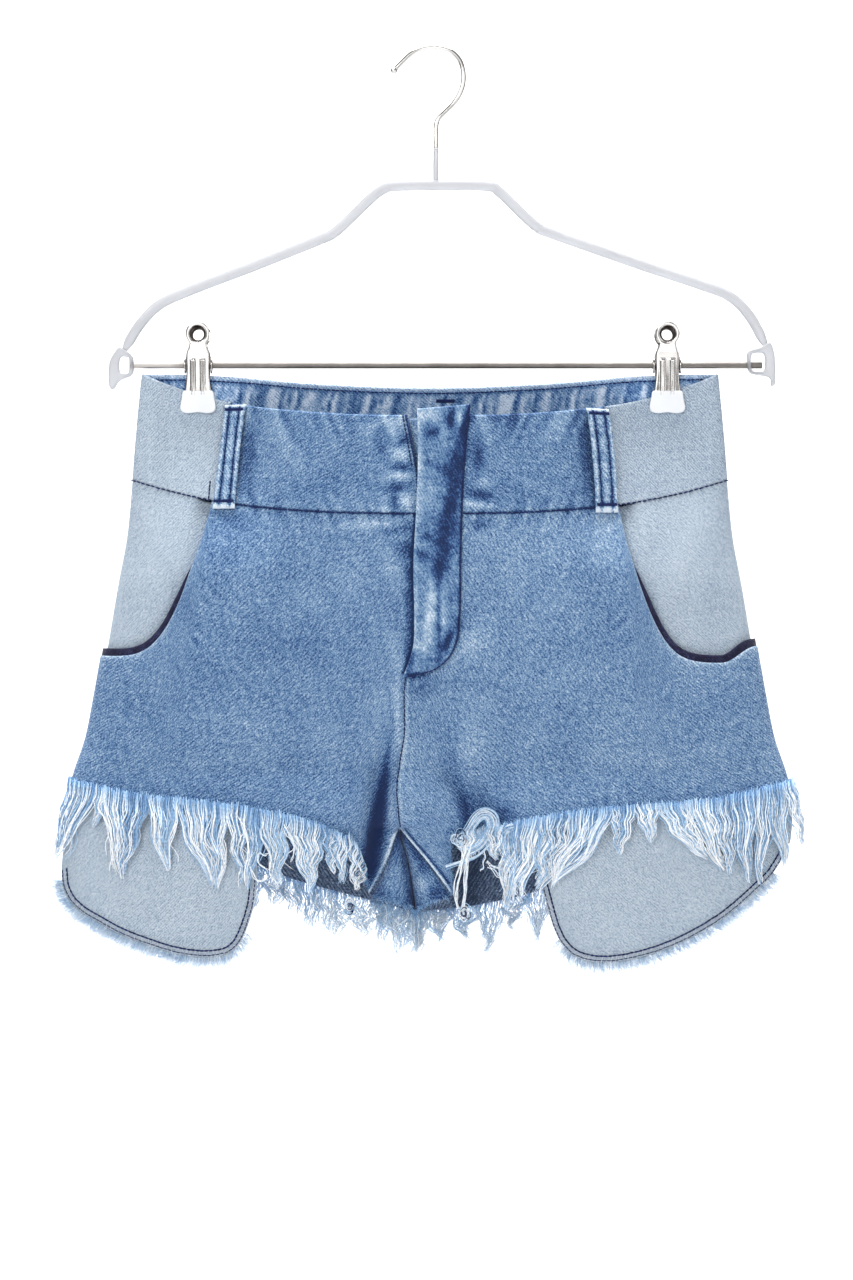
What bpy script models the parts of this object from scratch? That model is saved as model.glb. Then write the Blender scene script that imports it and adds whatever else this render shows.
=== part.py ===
"""Cut-off denim shorts held by the waist on a clip hanger.

Lengths in the tables are millimetres and are scaled to metres when a mesh is made. X runs to the
viewer's right, Y to the back and Z up. The origin is where a rail touches the inside of the hook.
The shorts are one tube for each leg, open at the top where the two halves meet in the middle. A
place on a half is a girth angle, 0 at the middle front, 180 at the side and 360 at the middle back,
and a height. Every cloth piece is a wall between two faces of that form, moved in or out.
"""

import math
import random
from collections import namedtuple

import bmesh
import bpy
from mathutils import Vector

MM = 0.001

# Cloth
DENIM = 1.2
BAG_CLOTH = 1.0
BAND = 2.0
PLY_GAP = 0.65
SEAM_GAP = 0.15
SIDES = {"right": -1, "left": 1}

# Form: heights and what the outline measures there
GARMENT_X = -3.7
BOXINESS = 0.8
Section = namedtuple("Section", "z half_width front back")
SECTIONS = (
    Section(-190, 176.0, 25, 19),
    Section(-237, 180.5, 27, 22),
    Section(-265, 182.7, 28, 24),
    Section(-301, 186.3, 30, 27),
    Section(-326, 191.0, 31, 29),
    Section(-372, 198.8, 32, 31),
    Section(-400, 203.8, 31, 32),
    Section(-424, 208.6, 30, 32),
    Section(-449, 216.8, 28, 32),
    Section(-482, 222.6, 26, 32),
    Section(-530, 225.6, 23, 31),
    Section(-575, 219.0, 20, 29),
)
Middle = namedtuple("Middle", "z x")
MIDDLES = (
    Middle(-190, -11.0),
    Middle(-265, -10.5),
    Middle(-309, -13.0),
    Middle(-366, -13.5),
    Middle(-388, -19.6),
    Middle(-421, -20.3),
    Middle(-437, -22.8),
    Middle(-452, -24.6),
    Middle(-464, -24.0),
    Middle(-482, -21.5),
    Middle(-498, -17.2),
    Middle(-516, -14.1),
    Middle(-532, -12.4),
    Middle(-575, -12.0),
)
CROTCH_Z = -478.0
FRONT_FORK_Z = -443.0
BACK_FORK_Z = -412.0
FORK_FORWARD = 12.0

# Seams and edges
SIDE_RIM_Z = -199.5
FRONT_RIM_DROP = 27.0
BACK_RIM_DROP = 6.9
SIDE_BAND_Z = -264.8
FRONT_BAND_DROP = 21.5
BACK_BAND_DROP = 6.0
DIP_POWER = 2.8
INSEAM_SHARE = {"right": 0.125, "left": 0.10}
INSEAM_FOOT_Z = -519.0
INSEAM_TURN = 0.65
CROTCH_TURN = 0.8
Hem = namedtuple("Hem", "share right left")
FRONT_HEM = (
    Hem(0.100, -519, -520),
    Hem(0.110, -519, -500),
    Hem(0.125, -518, -484),
    Hem(0.132, -500, -482),
    Hem(0.140, -487, -481),
    Hem(0.170, -482, -479.5),
    Hem(0.250, -474.5, -476),
    Hem(0.420, -466.5, -469),
    Hem(0.600, -462, -465),
    Hem(0.800, -457.8, -461),
    Hem(1.000, -450, -451),
)
BACK_HEM = (
    Hem(0.00, -530, -530),
    Hem(0.16, -522, -527),
    Hem(0.34, -512, -518),
    Hem(0.50, -499, -503),
    Hem(0.70, -480, -481),
    Hem(0.85, -465, -465),
    Hem(1.00, -450, -451),
)

# Shared columns of the form, so that plies that lie on each other bend at the same places
FRONT_GIRTHS = {
    "right": (0, 7, 14, 21, 28, 36, 45, 54, 63, 72, 82.5, 90, 98, 106, 115.2, 119, 124, 130, 138.2, 147,
              156, 163, 169, 174, 180),
    "left": (0, 7, 14, 21, 28, 36, 45, 54, 63, 72, 82, 91, 100, 106.1, 109.5, 114, 120, 131, 143.4, 152,
             160, 167, 174, 180),
}
BACK_GIRTHS = {
    "right": (180, 190, 200, 211, 221.8, 234, 245.3, 256, 268, 281, 294, 307, 318, 328, 337, 345, 353,
              360),
    "left": (180, 188, 197, 206, 216.6, 228, 240, 250, 261, 274, 288, 302, 314, 325, 335, 344, 352, 360),
}
STEADY_GIRTHS = (72, 300)
THIGH_COLUMN = 337

# Scooped pocket mouth and the pocket bags
SCOOP_TOP_Z = -278.0
SCOOP_X = {"right": -137.0, "left": 111.3}
SCOOP_DEPTH = {"right": 95.0, "left": 99.0}
SCOOP_TURN = {"right": 4.3, "left": 6.6}
SCOOP_TIP_RISE = {"right": 0.0, "left": 10.0}
POCKET_LIFT = DENIM + PLY_GAP + BAG_CLOTH + PLY_GAP
BAG_PEEK = 1.5
BAG_SLACK = 1.1
LIFT_RISE = 42.0
BAG_GIRTH = {"right": 82.5, "left": 70.0}
Bag = namedtuple("Bag", "share right left")
BAG_FOOT = (
    Bag(0.00, -504, -508),
    Bag(0.02, -520, -527),
    Bag(0.05, -532, -541),
    Bag(0.10, -545, -551.5),
    Bag(0.15, -551.5, -556),
    Bag(0.25, -555, -558.4),
    Bag(0.40, -554, -554.7),
    Bag(0.55, -549, -546),
    Bag(0.70, -542, -532),
    Bag(0.82, -534, -516.5),
    Bag(0.90, -528, -505),
    Bag(0.96, -520, -491),
    Bag(0.99, -511, -480),
    Bag(1.00, -503, -468),
)

# Grip of the clips on the waist
CLIP_X = {"right": -146.0, "left": 142.0}
GRIP_HALF = 16.0
GRIP_FADE_IN = 50.0
GRIP_FADE_OUT = 15.0
GRIP_KEPT_AT_SIDE = 0.55
GRIP_FULL_Z = -226.0
GRIP_END_Z = -335.0
GRIP_Y = BAND

# Deep folds of the front, from the fork down to the hem
Fold = namedtuple("Fold", "side x_top z_top x_foot z_foot half_width depth")
FOLDS = (
    Fold("right", -28.5, -405, -40, -515, 8.0, 11.5),
    Fold("left", 2, -420, 30, -485, 11.0, 10.0),
)

# Fly
FLY_GAP = 4.0
FLY_SLANT = 7.0
FLY_FOOT_Z = -385.5
PLACKET_TOP = (-223.0, -220.0)
Placket = namedtuple("Placket", "z inner outer")
PLACKET = (
    Placket(-221, -11.5, 20.9),
    Placket(-253, -11.0, 17.8),
    Placket(-283.5, -12.0, 16.2),
    Placket(-316, -13.7, 15.4),
    Placket(-347.5, -13.3, 14.8),
    Placket(-366, -13.8, 12.3),
    Placket(-376, -16.5, 6.2),
    Placket(-382, -18.8, -3.0),
    Placket(-385.5, -20.2, -16.0),
)
SHIELD_X = (-25.0, 10.0)
SHIELD_TOP_DROP = 2.0
SHIELD_OUT = -2.5

# Belt loops
LOOP_WIDTH = 13.5
LOOP_CLOTH = 1.5
LOOP_BOW = 2.4
LOOP_PAST_BAND = 4.0
LOOP_SLANT = {"right": (-121.5, -128.5), "left": (97.5, 103.5), "back": (5.8, 5.8)}
LOOP_OUT = 0.8
SIDE_BAND_EDGE = {"right": (-126.0, -135.0), "left": (103.0, 109.0)}

# Fringe
STRIP_GAP = 0.65
STRIP_HEIGHT = 3.0
HEM_STRANDS = {"front": 34, "back": 28}
HEM_STRAND_LENGTH = {"front": (24.0, 38.0), "back": (20.0, 31.0)}
FRONT_FRINGE_START = {"right": 28.0, "left": 7.0}
BAG_STRANDS = 20
BAG_STRAND_LENGTH = (4.0, 6.5)
BAG_STRIP = 1.4
HEM_BENDS = ((0.5, 0.36), (1.0, 0.14))
BAG_BENDS = ((1.0, 0.2),)
SWAY = 0.9
SWAY_TURNS = 9.0
SWAY_ALONE = 0.08
SHORTEST_SHARE = 0.63

# Hanger
WIRE_R = 1.55
WirePoint = namedtuple("WirePoint", "x z")
HOOK_WIRE = (
    WirePoint(-24.6, -11.7),
    WirePoint(-20.2, -7.2),
    WirePoint(-14.5, -2.2),
    WirePoint(-7.7, 0.7),
    WirePoint(0.0, WIRE_R),
    WirePoint(8.3, -0.6),
    WirePoint(14.1, -5.8),
    WirePoint(16.6, -12.6),
    WirePoint(16.8, -20.0),
    WirePoint(14.8, -26.8),
    WirePoint(11.1, -32.9),
    WirePoint(5.8, -38.3),
    WirePoint(1.3, -43.0),
    WirePoint(0.0, -48.5),
    WirePoint(0.0, -60.0),
    WirePoint(0.0, -80.1),
)
HOOK_BEAD_R = 2.2
SHOULDER_R = 3.2
SHOULDERS = (
    WirePoint(-191.3, -184.5),
    WirePoint(-182.0, -169.1),
    WirePoint(-169.7, -156.8),
    WirePoint(-151.3, -148.2),
    WirePoint(-114.4, -134.1),
    WirePoint(-71.3, -116.9),
    WirePoint(-63.3, -113.2),
    WirePoint(-56.0, -107.0),
    WirePoint(-39.4, -91.0),
    WirePoint(-32.6, -86.1),
    WirePoint(-25.2, -84.0),
    WirePoint(0.6, -83.6),
    WirePoint(31.4, -84.0),
    WirePoint(39.4, -87.9),
    WirePoint(54.7, -102.7),
    WirePoint(63.0, -109.7),
    WirePoint(71.3, -113.2),
    WirePoint(125.5, -132.2),
    WirePoint(162.4, -144.5),
    WirePoint(180.8, -151.9),
    WirePoint(193.1, -164.2),
    WirePoint(202.3, -181.4),
)
BAR_Z = -194.2
BAR_R = 2.0
BAR_ENDS = (-188.0, 200.6)
END_PLATE_Y = 3.0
END_OUTLINES = {
    "right": (
        WirePoint(-194.2, -183.2),
        WirePoint(-198.0, -187.0),
        WirePoint(-200.6, -192.5),
        WirePoint(-201.2, -199.0),
        WirePoint(-201.0, -205.9),
        WirePoint(-199.7, -208.9),
        WirePoint(-197.7, -208.5),
        WirePoint(-195.7, -205.2),
        WirePoint(-193.7, -203.3),
        WirePoint(-187.7, -200.6),
        WirePoint(-185.9, -197.5),
        WirePoint(-185.9, -190.9),
        WirePoint(-187.0, -188.0),
        WirePoint(-188.8, -186.4),
    ),
    "left": (
        WirePoint(205.2, -180.2),
        WirePoint(207.7, -186.3),
        WirePoint(208.4, -192.0),
        WirePoint(208.6, -203.8),
        WirePoint(207.7, -206.6),
        WirePoint(206.0, -206.2),
        WirePoint(204.8, -201.6),
        WirePoint(195.1, -199.6),
        WirePoint(192.2, -197.6),
        WirePoint(191.2, -191.0),
        WirePoint(191.2, -187.5),
        WirePoint(193.0, -185.2),
        WirePoint(199.6, -183.2),
    ),
}
END_WINDOWS = {"right": (-194.6, -188.4, -199.4, -188.8), "left": (193.6, 202.4, -198.2, -186.4)}
WINDOW_CORNER = 1.6

# Clips
CLIP_RING_Z = -175.4
CLIP_RING_R = 6.9
CLIP_HOLE_R = 5.0
CLIP_SHEET = 1.0
ClipRow = namedtuple("ClipRow", "z half_width out")
CLIP_LEAF = (
    ClipRow(-166.0, 0.0, 9.6),
    ClipRow(-181.5, 4.8, 6.6),
    ClipRow(-184.5, 5.6, 6.0),
    ClipRow(-188.0, 7.0, 5.5),
    ClipRow(-198.0, 7.0, 4.2),
    ClipRow(-204.0, 7.3, 3.6),
    ClipRow(-209.9, 8.0, 3.1),
)
PAD_TOP_Z = -210.3
PAD_FOOT_Z = -223.9
PAD_HALF_TOP = 9.3
PAD_HALF_FOOT = 11.0
PAD_DEPTH = 2.4
PAD_ROUND = 4.2
SPRING_HALF = 6.3
SPRING_R = 3.4
EAR_HALF = 8.4
EAR_R = 5.4
BAR_CLEARANCE = 0.4

# Rows of the walls: shares of the way down to the first shared height, then the shared heights
UPPER_ROWS = (0, 0.1, 0.21, 0.33, 0.46, 0.6, 0.78)
SHARED_Z = (-385, -415, -432, -447, -463, -482, -512)
THIGH_Z = (-385, -415, -440, -461, -478, -490, -504)
LEAST_ROW = 1.2
BAND_ROWS = (0, 0.25, 0.5, 0.75, 1)

COLOURS = {
    "denim": ((0.20, 0.36, 0.62), 0.9, 0.0),
    "denim_reverse": ((0.55, 0.62, 0.72), 0.9, 0.0),
    "yarn": ((0.74, 0.83, 0.94), 0.95, 0.0),
    "chrome": ((0.72, 0.70, 0.68), 0.2, 1.0),
    "coated_wire": ((0.90, 0.92, 0.96), 0.35, 0.0),
    "pad_rubber": ((0.93, 0.93, 0.93), 0.5, 0.0),
}


# ---- numbers along a table ----


def smoothstep(value):
    value = min(1.0, max(0.0, value))
    return value * value * (3 - 2 * value)


def lerp(start, end, share):
    return start + (end - start) * share


def along(rows, key, column, at):
    """The column's value at a key: a smooth curve through the rows, which run either way."""
    keys = [getattr(row, key) for row in rows]
    values = [getattr(row, column) for row in rows]
    if keys[0] > keys[-1]:
        keys, values = keys[::-1], values[::-1]
    at = min(keys[-1], max(keys[0], at))
    last = len(keys) - 2
    i = min(last, max(0, sum(1 for k in keys if k <= at) - 1))
    step = keys[i + 1] - keys[i]
    slope = (values[i + 1] - values[i]) / step
    before = (values[i] - values[i - 1]) / (keys[i] - keys[i - 1]) if i > 0 else slope
    after = (values[i + 2] - values[i + 1]) / (keys[i + 2] - keys[i + 1]) if i < last else slope
    start, end = (before + slope) / 2 * step, (slope + after) / 2 * step
    t = (at - keys[i]) / step
    return (
        values[i] * (2 * t**3 - 3 * t**2 + 1)
        + start * (t**3 - 2 * t**2 + t)
        + values[i + 1] * (3 * t**2 - 2 * t**3)
        + end * (t**3 - t**2)
    )


# ---- the form of the shorts ----


def middle_x(z):
    return along(MIDDLES, "z", "x", z)


def half_span(side, z):
    """From the middle line to the side, at a height."""
    outer = GARMENT_X + SIDES[side] * along(SECTIONS, "z", "half_width", z)
    return abs(outer - middle_x(z))


def share_of(girth):
    """How far across a half lies, 0 at the middle and 1 at the side."""
    return (1 - math.cos(math.radians(girth))) / 2


def girth_of(share, back=False):
    girth = math.degrees(math.acos(1 - 2 * min(1.0, max(0.0, share))))
    return 360 - girth if back else girth


def x_at(side, share, z):
    return middle_x(z) + SIDES[side] * (SEAM_GAP + share * (half_span(side, z) - SEAM_GAP))


def share_at(side, x, z):
    return (abs(x - middle_x(z)) - SEAM_GAP) / (half_span(side, z) - SEAM_GAP)


def grip_at(side, x, z):
    """How much of the waist's fullness a clip takes away, 0 to 1."""
    from_clip = (x - CLIP_X[side]) * SIDES[side]
    if abs(from_clip) <= GRIP_HALF:
        across = 1.0
    elif from_clip < 0:
        across = smoothstep(1 - (-from_clip - GRIP_HALF) / GRIP_FADE_IN)
    else:
        faded = smoothstep((from_clip - GRIP_HALF) / GRIP_FADE_OUT)
        across = lerp(1.0, GRIP_KEPT_AT_SIDE, faded)
    return across * smoothstep((z - GRIP_END_Z) / (GRIP_FULL_Z - GRIP_END_Z))


def fold_at(side, x, z):
    """How far the deep folds push the front in."""
    pushed = 0.0
    for fold in FOLDS:
        if fold.side != side:
            continue
        down = (fold.z_top - z) / (fold.z_top - fold.z_foot)
        centre = lerp(fold.x_top, fold.x_foot, down)
        reach = (x - centre) / fold.half_width
        pushed += fold.depth * smoothstep(down * 1.6) * math.exp(-reach * reach)
    return pushed


def form(side, girth, z):
    """A point of the outer face; past 360 the girth goes on round to the front of the leg."""
    if girth > 360:
        girth -= 360
    front = girth <= 180
    share = share_of(girth)
    fork_z = FRONT_FORK_Z if front else BACK_FORK_Z
    fork = min(1.0, max(0.0, (fork_z - z) / (fork_z - CROTCH_Z)))
    cosine = (fork / 2 - share) / (1 - fork / 2)
    round_out = math.sqrt(max(0.0, 1 - cosine * cosine)) ** BOXINESS
    x = x_at(side, share, z)
    full = along(SECTIONS, "z", "front" if front else "back", z) * round_out
    depth = SEAM_GAP + GRIP_Y + (full - GRIP_Y) * (1 - grip_at(side, x, z))
    depth = min(depth, SEAM_GAP + full)
    forward = -FORK_FORWARD * fork * (1 - share)
    if front:
        return Vector((x, forward - depth + fold_at(side, x, z), z))
    return Vector((x, forward + depth, z))


def outward(side, girth, z):
    """The outer face's normal, from points towards the middle of the front or the back."""
    towards = 1 if girth < 90 or 180 < girth < 270 or girth > 360 else -1
    here = form(side, girth, z)
    across = (form(side, girth + towards, z) - here) * towards
    up = form(side, girth, z + 0.5) - form(side, girth, z - 0.5)
    return across.cross(up).normalized() * SIDES[side]


def moved(side, girth, z, out):
    return form(side, girth, z) + outward(side, girth, z) * out


def moved_at_x(x, z, out, back=False):
    """A point of the front or the back by its x, on either half."""
    side = "left" if x > middle_x(z) else "right"
    return moved(side, girth_of(share_at(side, x, z), back), z, out)


# ---- edges of the pieces ----


def waist_across(side, share, z):
    """0 at the middle of the waist and 1 at the side."""
    across = abs(x_at(side, share, z) - GARMENT_X) / along(SECTIONS, "z", "half_width", z)
    return min(1.0, across)


def dip(side, share, z):
    """0 at the side and 1 at the middle of the waist."""
    return 1 - waist_across(side, share, z) ** DIP_POWER


def rim_z(side, girth):
    if girth <= 180:
        return SIDE_RIM_Z - FRONT_RIM_DROP * dip(side, share_of(girth), SIDE_RIM_Z)
    across = waist_across(side, share_of(girth), SIDE_RIM_Z)
    return SIDE_RIM_Z - BACK_RIM_DROP * smoothstep(1 - across)


def band_z(side, girth):
    drop = FRONT_BAND_DROP if girth <= 180 else BACK_BAND_DROP
    return SIDE_BAND_Z - drop * dip(side, share_of(girth), SIDE_BAND_Z)


def scoop_start(side):
    return share_at(side, SCOOP_X[side], SCOOP_TOP_Z)


def scoop_z(side, share):
    start = scoop_start(side)
    past = max(0.0, (share - start) / (1 - start))
    tip = SCOOP_TIP_RISE[side] * smoothstep((past - 0.7) / 0.3)
    return SCOOP_TOP_Z - SCOOP_DEPTH[side] * (1 - (1 - past) ** SCOOP_TURN[side]) + tip


def scoop_share(side, z):
    """Where the front's edge lies at a height of the scoop."""
    start = scoop_start(side)
    down = min(0.999, max(0.0, (SCOOP_TOP_Z - z) / SCOOP_DEPTH[side]))
    return start + (1 - start) * (1 - (1 - down) ** (1 / SCOOP_TURN[side]))


def inseam_turn(z):
    """Half the gap of the inseam in degrees: it is wider at the crotch, where the cloth bends."""
    return INSEAM_TURN + CROTCH_TURN * max(0.0, 1 - (CROTCH_Z - z) / 12)


def inseam_girth(side, z):
    """Where the inseam lies below the crotch: it walks from the middle to the front."""
    down = max(0.0, (CROTCH_Z - z) / (CROTCH_Z - INSEAM_FOOT_Z))
    return girth_of(INSEAM_SHARE[side] * down)


def front_girth(side, column, z):
    """A front's column at a height: the first ones make room for the fly and the inseam."""
    if z < CROTCH_Z + 0.5:
        start = inseam_girth(side, z) + inseam_turn(z)
    elif side == "left":
        start = girth_of(FLY_GAP * smoothstep((z - FLY_FOOT_Z) / 8) / half_span(side, z))
    else:
        start = 0.0
    steady = STEADY_GIRTHS[0]
    return lerp(start, steady, column / steady) if column < steady else column


def back_girth(side, column, z):
    """A back's column at a height: below the crotch the last ones reach round to the inseam.

    There the thigh column lies where the two legs touch.
    """
    end = 360 + inseam_girth(side, z) - inseam_turn(z) if z < CROTCH_Z + 0.5 else 360
    steady = STEADY_GIRTHS[1]
    if column <= steady:
        return max(column, 180.01)
    innermost = lerp(THIGH_COLUMN, 360, smoothstep((CROTCH_Z - z) / 10))
    if column <= THIGH_COLUMN:
        return lerp(steady, innermost, (column - steady) / (THIGH_COLUMN - steady))
    return lerp(innermost, end, (column - THIGH_COLUMN) / (360 - THIGH_COLUMN))


def front_hem_z(side, girth):
    return along(FRONT_HEM, "share", side, share_of(girth))


def back_hem_z(side, girth):
    if girth <= 360:
        return along(BACK_HEM, "share", side, share_of(girth))
    past = (girth - 360) / inseam_girth(side, INSEAM_FOOT_Z)
    return lerp(BACK_HEM[0].right, INSEAM_FOOT_Z, min(1.0, past))


def hem_of(side, column, girth_at, hem_z):
    """The height where a column meets its hem, halved down to a thousandth."""
    low, high = -540.0, -430.0
    for _ in range(20):
        z = (low + high) / 2
        if z > hem_z(side, girth_at(side, column, z)):
            high = z
        else:
            low = z
    return high


def pocket_lift(side, share, z):
    """How far the front stands out over the pocket's two plies."""
    below = (band_z(side, girth_of(share)) - z) / LIFT_RISE
    nearer = (share - share_of(BAG_GIRTH[side]) + 0.03) / 0.20
    return POCKET_LIFT * smoothstep(below) * smoothstep(nearer)


def back_lift(girth, z):
    """The back's side edge follows the front's, below the pocket mouth."""
    below = (SCOOP_TOP_Z - SCOOP_DEPTH["right"] + 8 - z) / 14
    return POCKET_LIFT * smoothstep(below) * smoothstep((206 - girth) / 24)


def bag_foot_z(side, girth):
    start = share_of(BAG_GIRTH[side])
    return along(BAG_FOOT, "share", side, (share_of(girth) - start) / (1 - start))


# ---- meshes ----


def clear_scene():
    for thing in list(bpy.data.objects):
        bpy.data.objects.remove(thing)


def make_materials():
    made = {}
    for name, (colour, roughness, metallic) in COLOURS.items():
        material = bpy.data.materials.new(name)
        material.use_nodes = True
        shader = material.node_tree.nodes["Principled BSDF"]
        shader.inputs["Base Color"].default_value = (*colour, 1)
        shader.inputs["Roughness"].default_value = roughness
        shader.inputs["Metallic"].default_value = metallic
        made[name] = material
    return made


def finish(name, bm, material, smooth=True):
    bmesh.ops.recalc_face_normals(bm, faces=bm.faces)
    mesh = bpy.data.meshes.new(name)
    bm.to_mesh(mesh)
    bm.free()
    if smooth:
        mesh.shade_smooth()
        mesh.set_sharp_from_angle(angle=math.radians(40))
    made = bpy.data.objects.new(name, mesh)
    made.data.materials.append(material)
    bpy.context.scene.collection.objects.link(made)
    return made


def even(count):
    return [i / count for i in range(count + 1)]


def wall(name, material, across, down, face, out, thickness):
    """A closed wall: face(a, d, out) is a point at two shares, and the wall lies inside out."""
    bm = bmesh.new()
    faces = []
    for level in (out, out - thickness):
        grid = [[bm.verts.new(face(a, d, level) * MM) for a in across] for d in down]
        faces.append(grid)
    outer, inner = faces
    rows, columns = len(down) - 1, len(across) - 1
    for grid in faces:
        for i in range(rows):
            for j in range(columns):
                corners = (grid[i][j], grid[i][j + 1], grid[i + 1][j + 1], grid[i + 1][j])
                bm.faces.new(corners)
    rim = [(i, 0) for i in range(rows)] + [(rows, j) for j in range(columns)]
    rim += [(i, columns) for i in range(rows, 0, -1)] + [(0, j) for j in range(columns, 0, -1)]
    for (i, j), (k, m) in zip(rim, rim[1:] + rim[:1]):
        bm.faces.new((outer[i][j], outer[k][m], inner[k][m], inner[i][j]))
    return finish(name, bm, material)


def columns(side, start, end, more=()):
    """The form's shared columns between two girths, with these two and any more."""
    own = [start, end, *more]
    shared = [g for g in FRONT_GIRTHS[side] if start < g < end and min(abs(g - m) for m in own) > 1.5]
    return sorted(own + shared)


def row_count(lowest):
    return len(UPPER_ROWS) + sum(1 for z in SHARED_Z if z > lowest)


def row_z(row, rows, z_top, z_foot, thigh=0.0):
    """The height of a wall's row: plies that overlap share their rows as well as their columns.

    thigh is how much of the way to the rows of the inner thigh a column is, 0 to 1.
    """
    if row == rows:
        return z_foot
    if row < len(UPPER_ROWS):
        z = lerp(z_top, SHARED_Z[0], UPPER_ROWS[row])
    else:
        z = lerp(SHARED_Z[row - len(UPPER_ROWS)], THIGH_Z[row - len(UPPER_ROWS)], thigh)
    return max(z, z_foot + LEAST_ROW * (rows - row))


# ---- the garment's pieces ----


def make_front(side, material):
    start = scoop_start(side)
    rows = row_count(-500)

    def face(column, row, level):
        share = share_of(column)
        z_top = band_z(side, column) - SEAM_GAP
        if share > start:
            z_top = min(z_top, scoop_z(side, share))
        thigh = smoothstep((66 - column) / 24)
        z = row_z(row, rows, z_top, hem_of(side, column, front_girth, front_hem_z), thigh)
        girth = front_girth(side, column, z)
        return moved(side, girth, z, level + pocket_lift(side, share_of(girth), z))

    across = columns(side, 0, 180, (girth_of(start),))
    wall(f"front_{side}", material, across, range(rows + 1), face, 0.0, DENIM)


def make_back(side, material):
    rows = row_count(-513)

    def face(column, row, level):
        z_top = band_z(side, max(180.01, column)) - SEAM_GAP
        thigh = smoothstep((column - 300) / 24)
        z = row_z(row, rows, z_top, hem_of(side, column, back_girth, back_hem_z), thigh)
        girth = back_girth(side, column, z)
        return moved(side, girth, z, level + back_lift(girth, z))

    wall(f"back_{side}", material, BACK_GIRTHS[side], range(rows + 1), face, 0.0, DENIM)


def make_front_band(name, material, side, starts, ends):
    """A stretch of the front waistband between two edges, each a girth at the rim and the seam."""

    def face(column, depth, level):
        first, last = lerp(*starts, depth), lerp(*ends, depth)
        if column <= across[1]:
            girth = lerp(first, across[1], (column - across[0]) / (across[1] - across[0]))
        elif column >= across[-2]:
            girth = lerp(across[-2], last, (column - across[-2]) / (across[-1] - across[-2]))
        else:
            girth = column
        z = lerp(rim_z(side, girth), band_z(side, girth) + SEAM_GAP, depth)
        return moved(side, girth, z, level)

    across = columns(side, max(starts), min(ends) if ends[1] < 180 else 180)
    across = [g for g in across if g in (across[0], across[-1]) or max(starts) + 2 < g < min(ends) - 2]
    wall(name, material, across, BAND_ROWS, face, 0.0, BAND)


def make_waistband(materials):
    for side, (top_x, foot_x) in SIDE_BAND_EDGE.items():
        edge = [girth_of(share_at(side, x, z)) for x, z in ((top_x, -215), (foot_x, -278))]
        if side == "right":
            starts = (girth_of(FLY_SLANT / half_span(side, -226)), 0.0)
        else:
            starts = (girth_of(FLY_GAP / half_span(side, -226)),) * 2
        make_front_band(f"waistband_front_{side}", materials["denim"], side,
                        starts, [g - 0.1 for g in edge])
        make_front_band(f"waistband_side_{side}", materials["denim_reverse"], side,
                        [g + 0.1 for g in edge], (180.0, 180.0))

    def face(column, depth, level):
        side, girth = column
        girth = max(180.01, girth)
        z = lerp(rim_z(side, girth), band_z(side, girth) + SEAM_GAP, depth)
        point = moved(side, girth, z, level)
        if girth == 360:
            point.x = middle_x(z)
        return point

    across = [("right", g) for g in BACK_GIRTHS["right"]]
    across += [("left", g) for g in reversed(BACK_GIRTHS["left"][:-1])]
    wall("waistband_back", materials["denim"], across, BAND_ROWS, face, 0.0, BAND)


def bag_columns(side):
    start = BAG_GIRTH[side]
    return columns(side, start, 180, (start + 2, start + 5, girth_of(scoop_start(side))))


def make_pocket_back(side, material):
    """The light side panel, which runs on under the front as the bag's back ply."""

    rows = row_count(-520)

    def face(column, row, level):
        z = row_z(row, rows, band_z(side, column) - SEAM_GAP, bag_foot_z(side, column))
        share = share_of(column)
        shown = smoothstep((share - scoop_share(side, z) - 0.02) / 0.05)
        lifted = pocket_lift(side, share, z)
        hidden = lifted - BAG_SLACK
        return moved(side, column, z, level + lerp(hidden, POCKET_LIFT, shown) - POCKET_LIFT)

    wall(f"pocket_back_{side}", material, bag_columns(side), range(rows + 1), face, 0.0, BAG_CLOTH)


def make_pocket_bag(side, material):
    """The bag's front ply, from the scooped edge down; its edge peeks out of the scoop."""

    rows = row_count(-520)

    def face(column, row, level):
        share = share_of(column)
        z_top = min(band_z(side, column) - 2, scoop_z(side, share) + BAG_PEEK)
        z = row_z(row, rows, z_top, bag_foot_z(side, column))
        lifted = pocket_lift(side, share, z) - DENIM - PLY_GAP
        return moved(side, column, z, level + lifted)

    wall(f"pocket_bag_{side}", material, bag_columns(side), range(rows + 1), face, 0.0, BAG_CLOTH)


def make_fly(material):
    def placket_face(across, depth, level):
        z = lerp(lerp(*PLACKET_TOP, across), PLACKET[-1].z, depth)
        inner, outer = (along(PLACKET, "z", edge, z) for edge in ("inner", "outer"))
        lifted = 2.2 * (1 - across) ** 2 * smoothstep((z - FLY_FOOT_Z) / 30)
        return moved_at_x(lerp(inner, outer, across), z, level + lifted)

    down = [0, 0.08, 0.17, 0.28, 0.4, 0.52, 0.64, 0.74, 0.82, 0.88, 0.93, 0.965, 0.99, 1]
    wall("fly_placket", material, even(4), down, placket_face, DENIM + 0.4, DENIM)

    def shield_face(across, depth, level):
        z = lerp(rim_z("left", 10) - SHIELD_TOP_DROP, FLY_FOOT_Z, depth)
        return moved_at_x(lerp(SHIELD_X[0], SHIELD_X[1], across), z, level)

    wall("fly_shield", material, even(4), even(8), shield_face, SHIELD_OUT, BAG_CLOTH)


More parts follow.
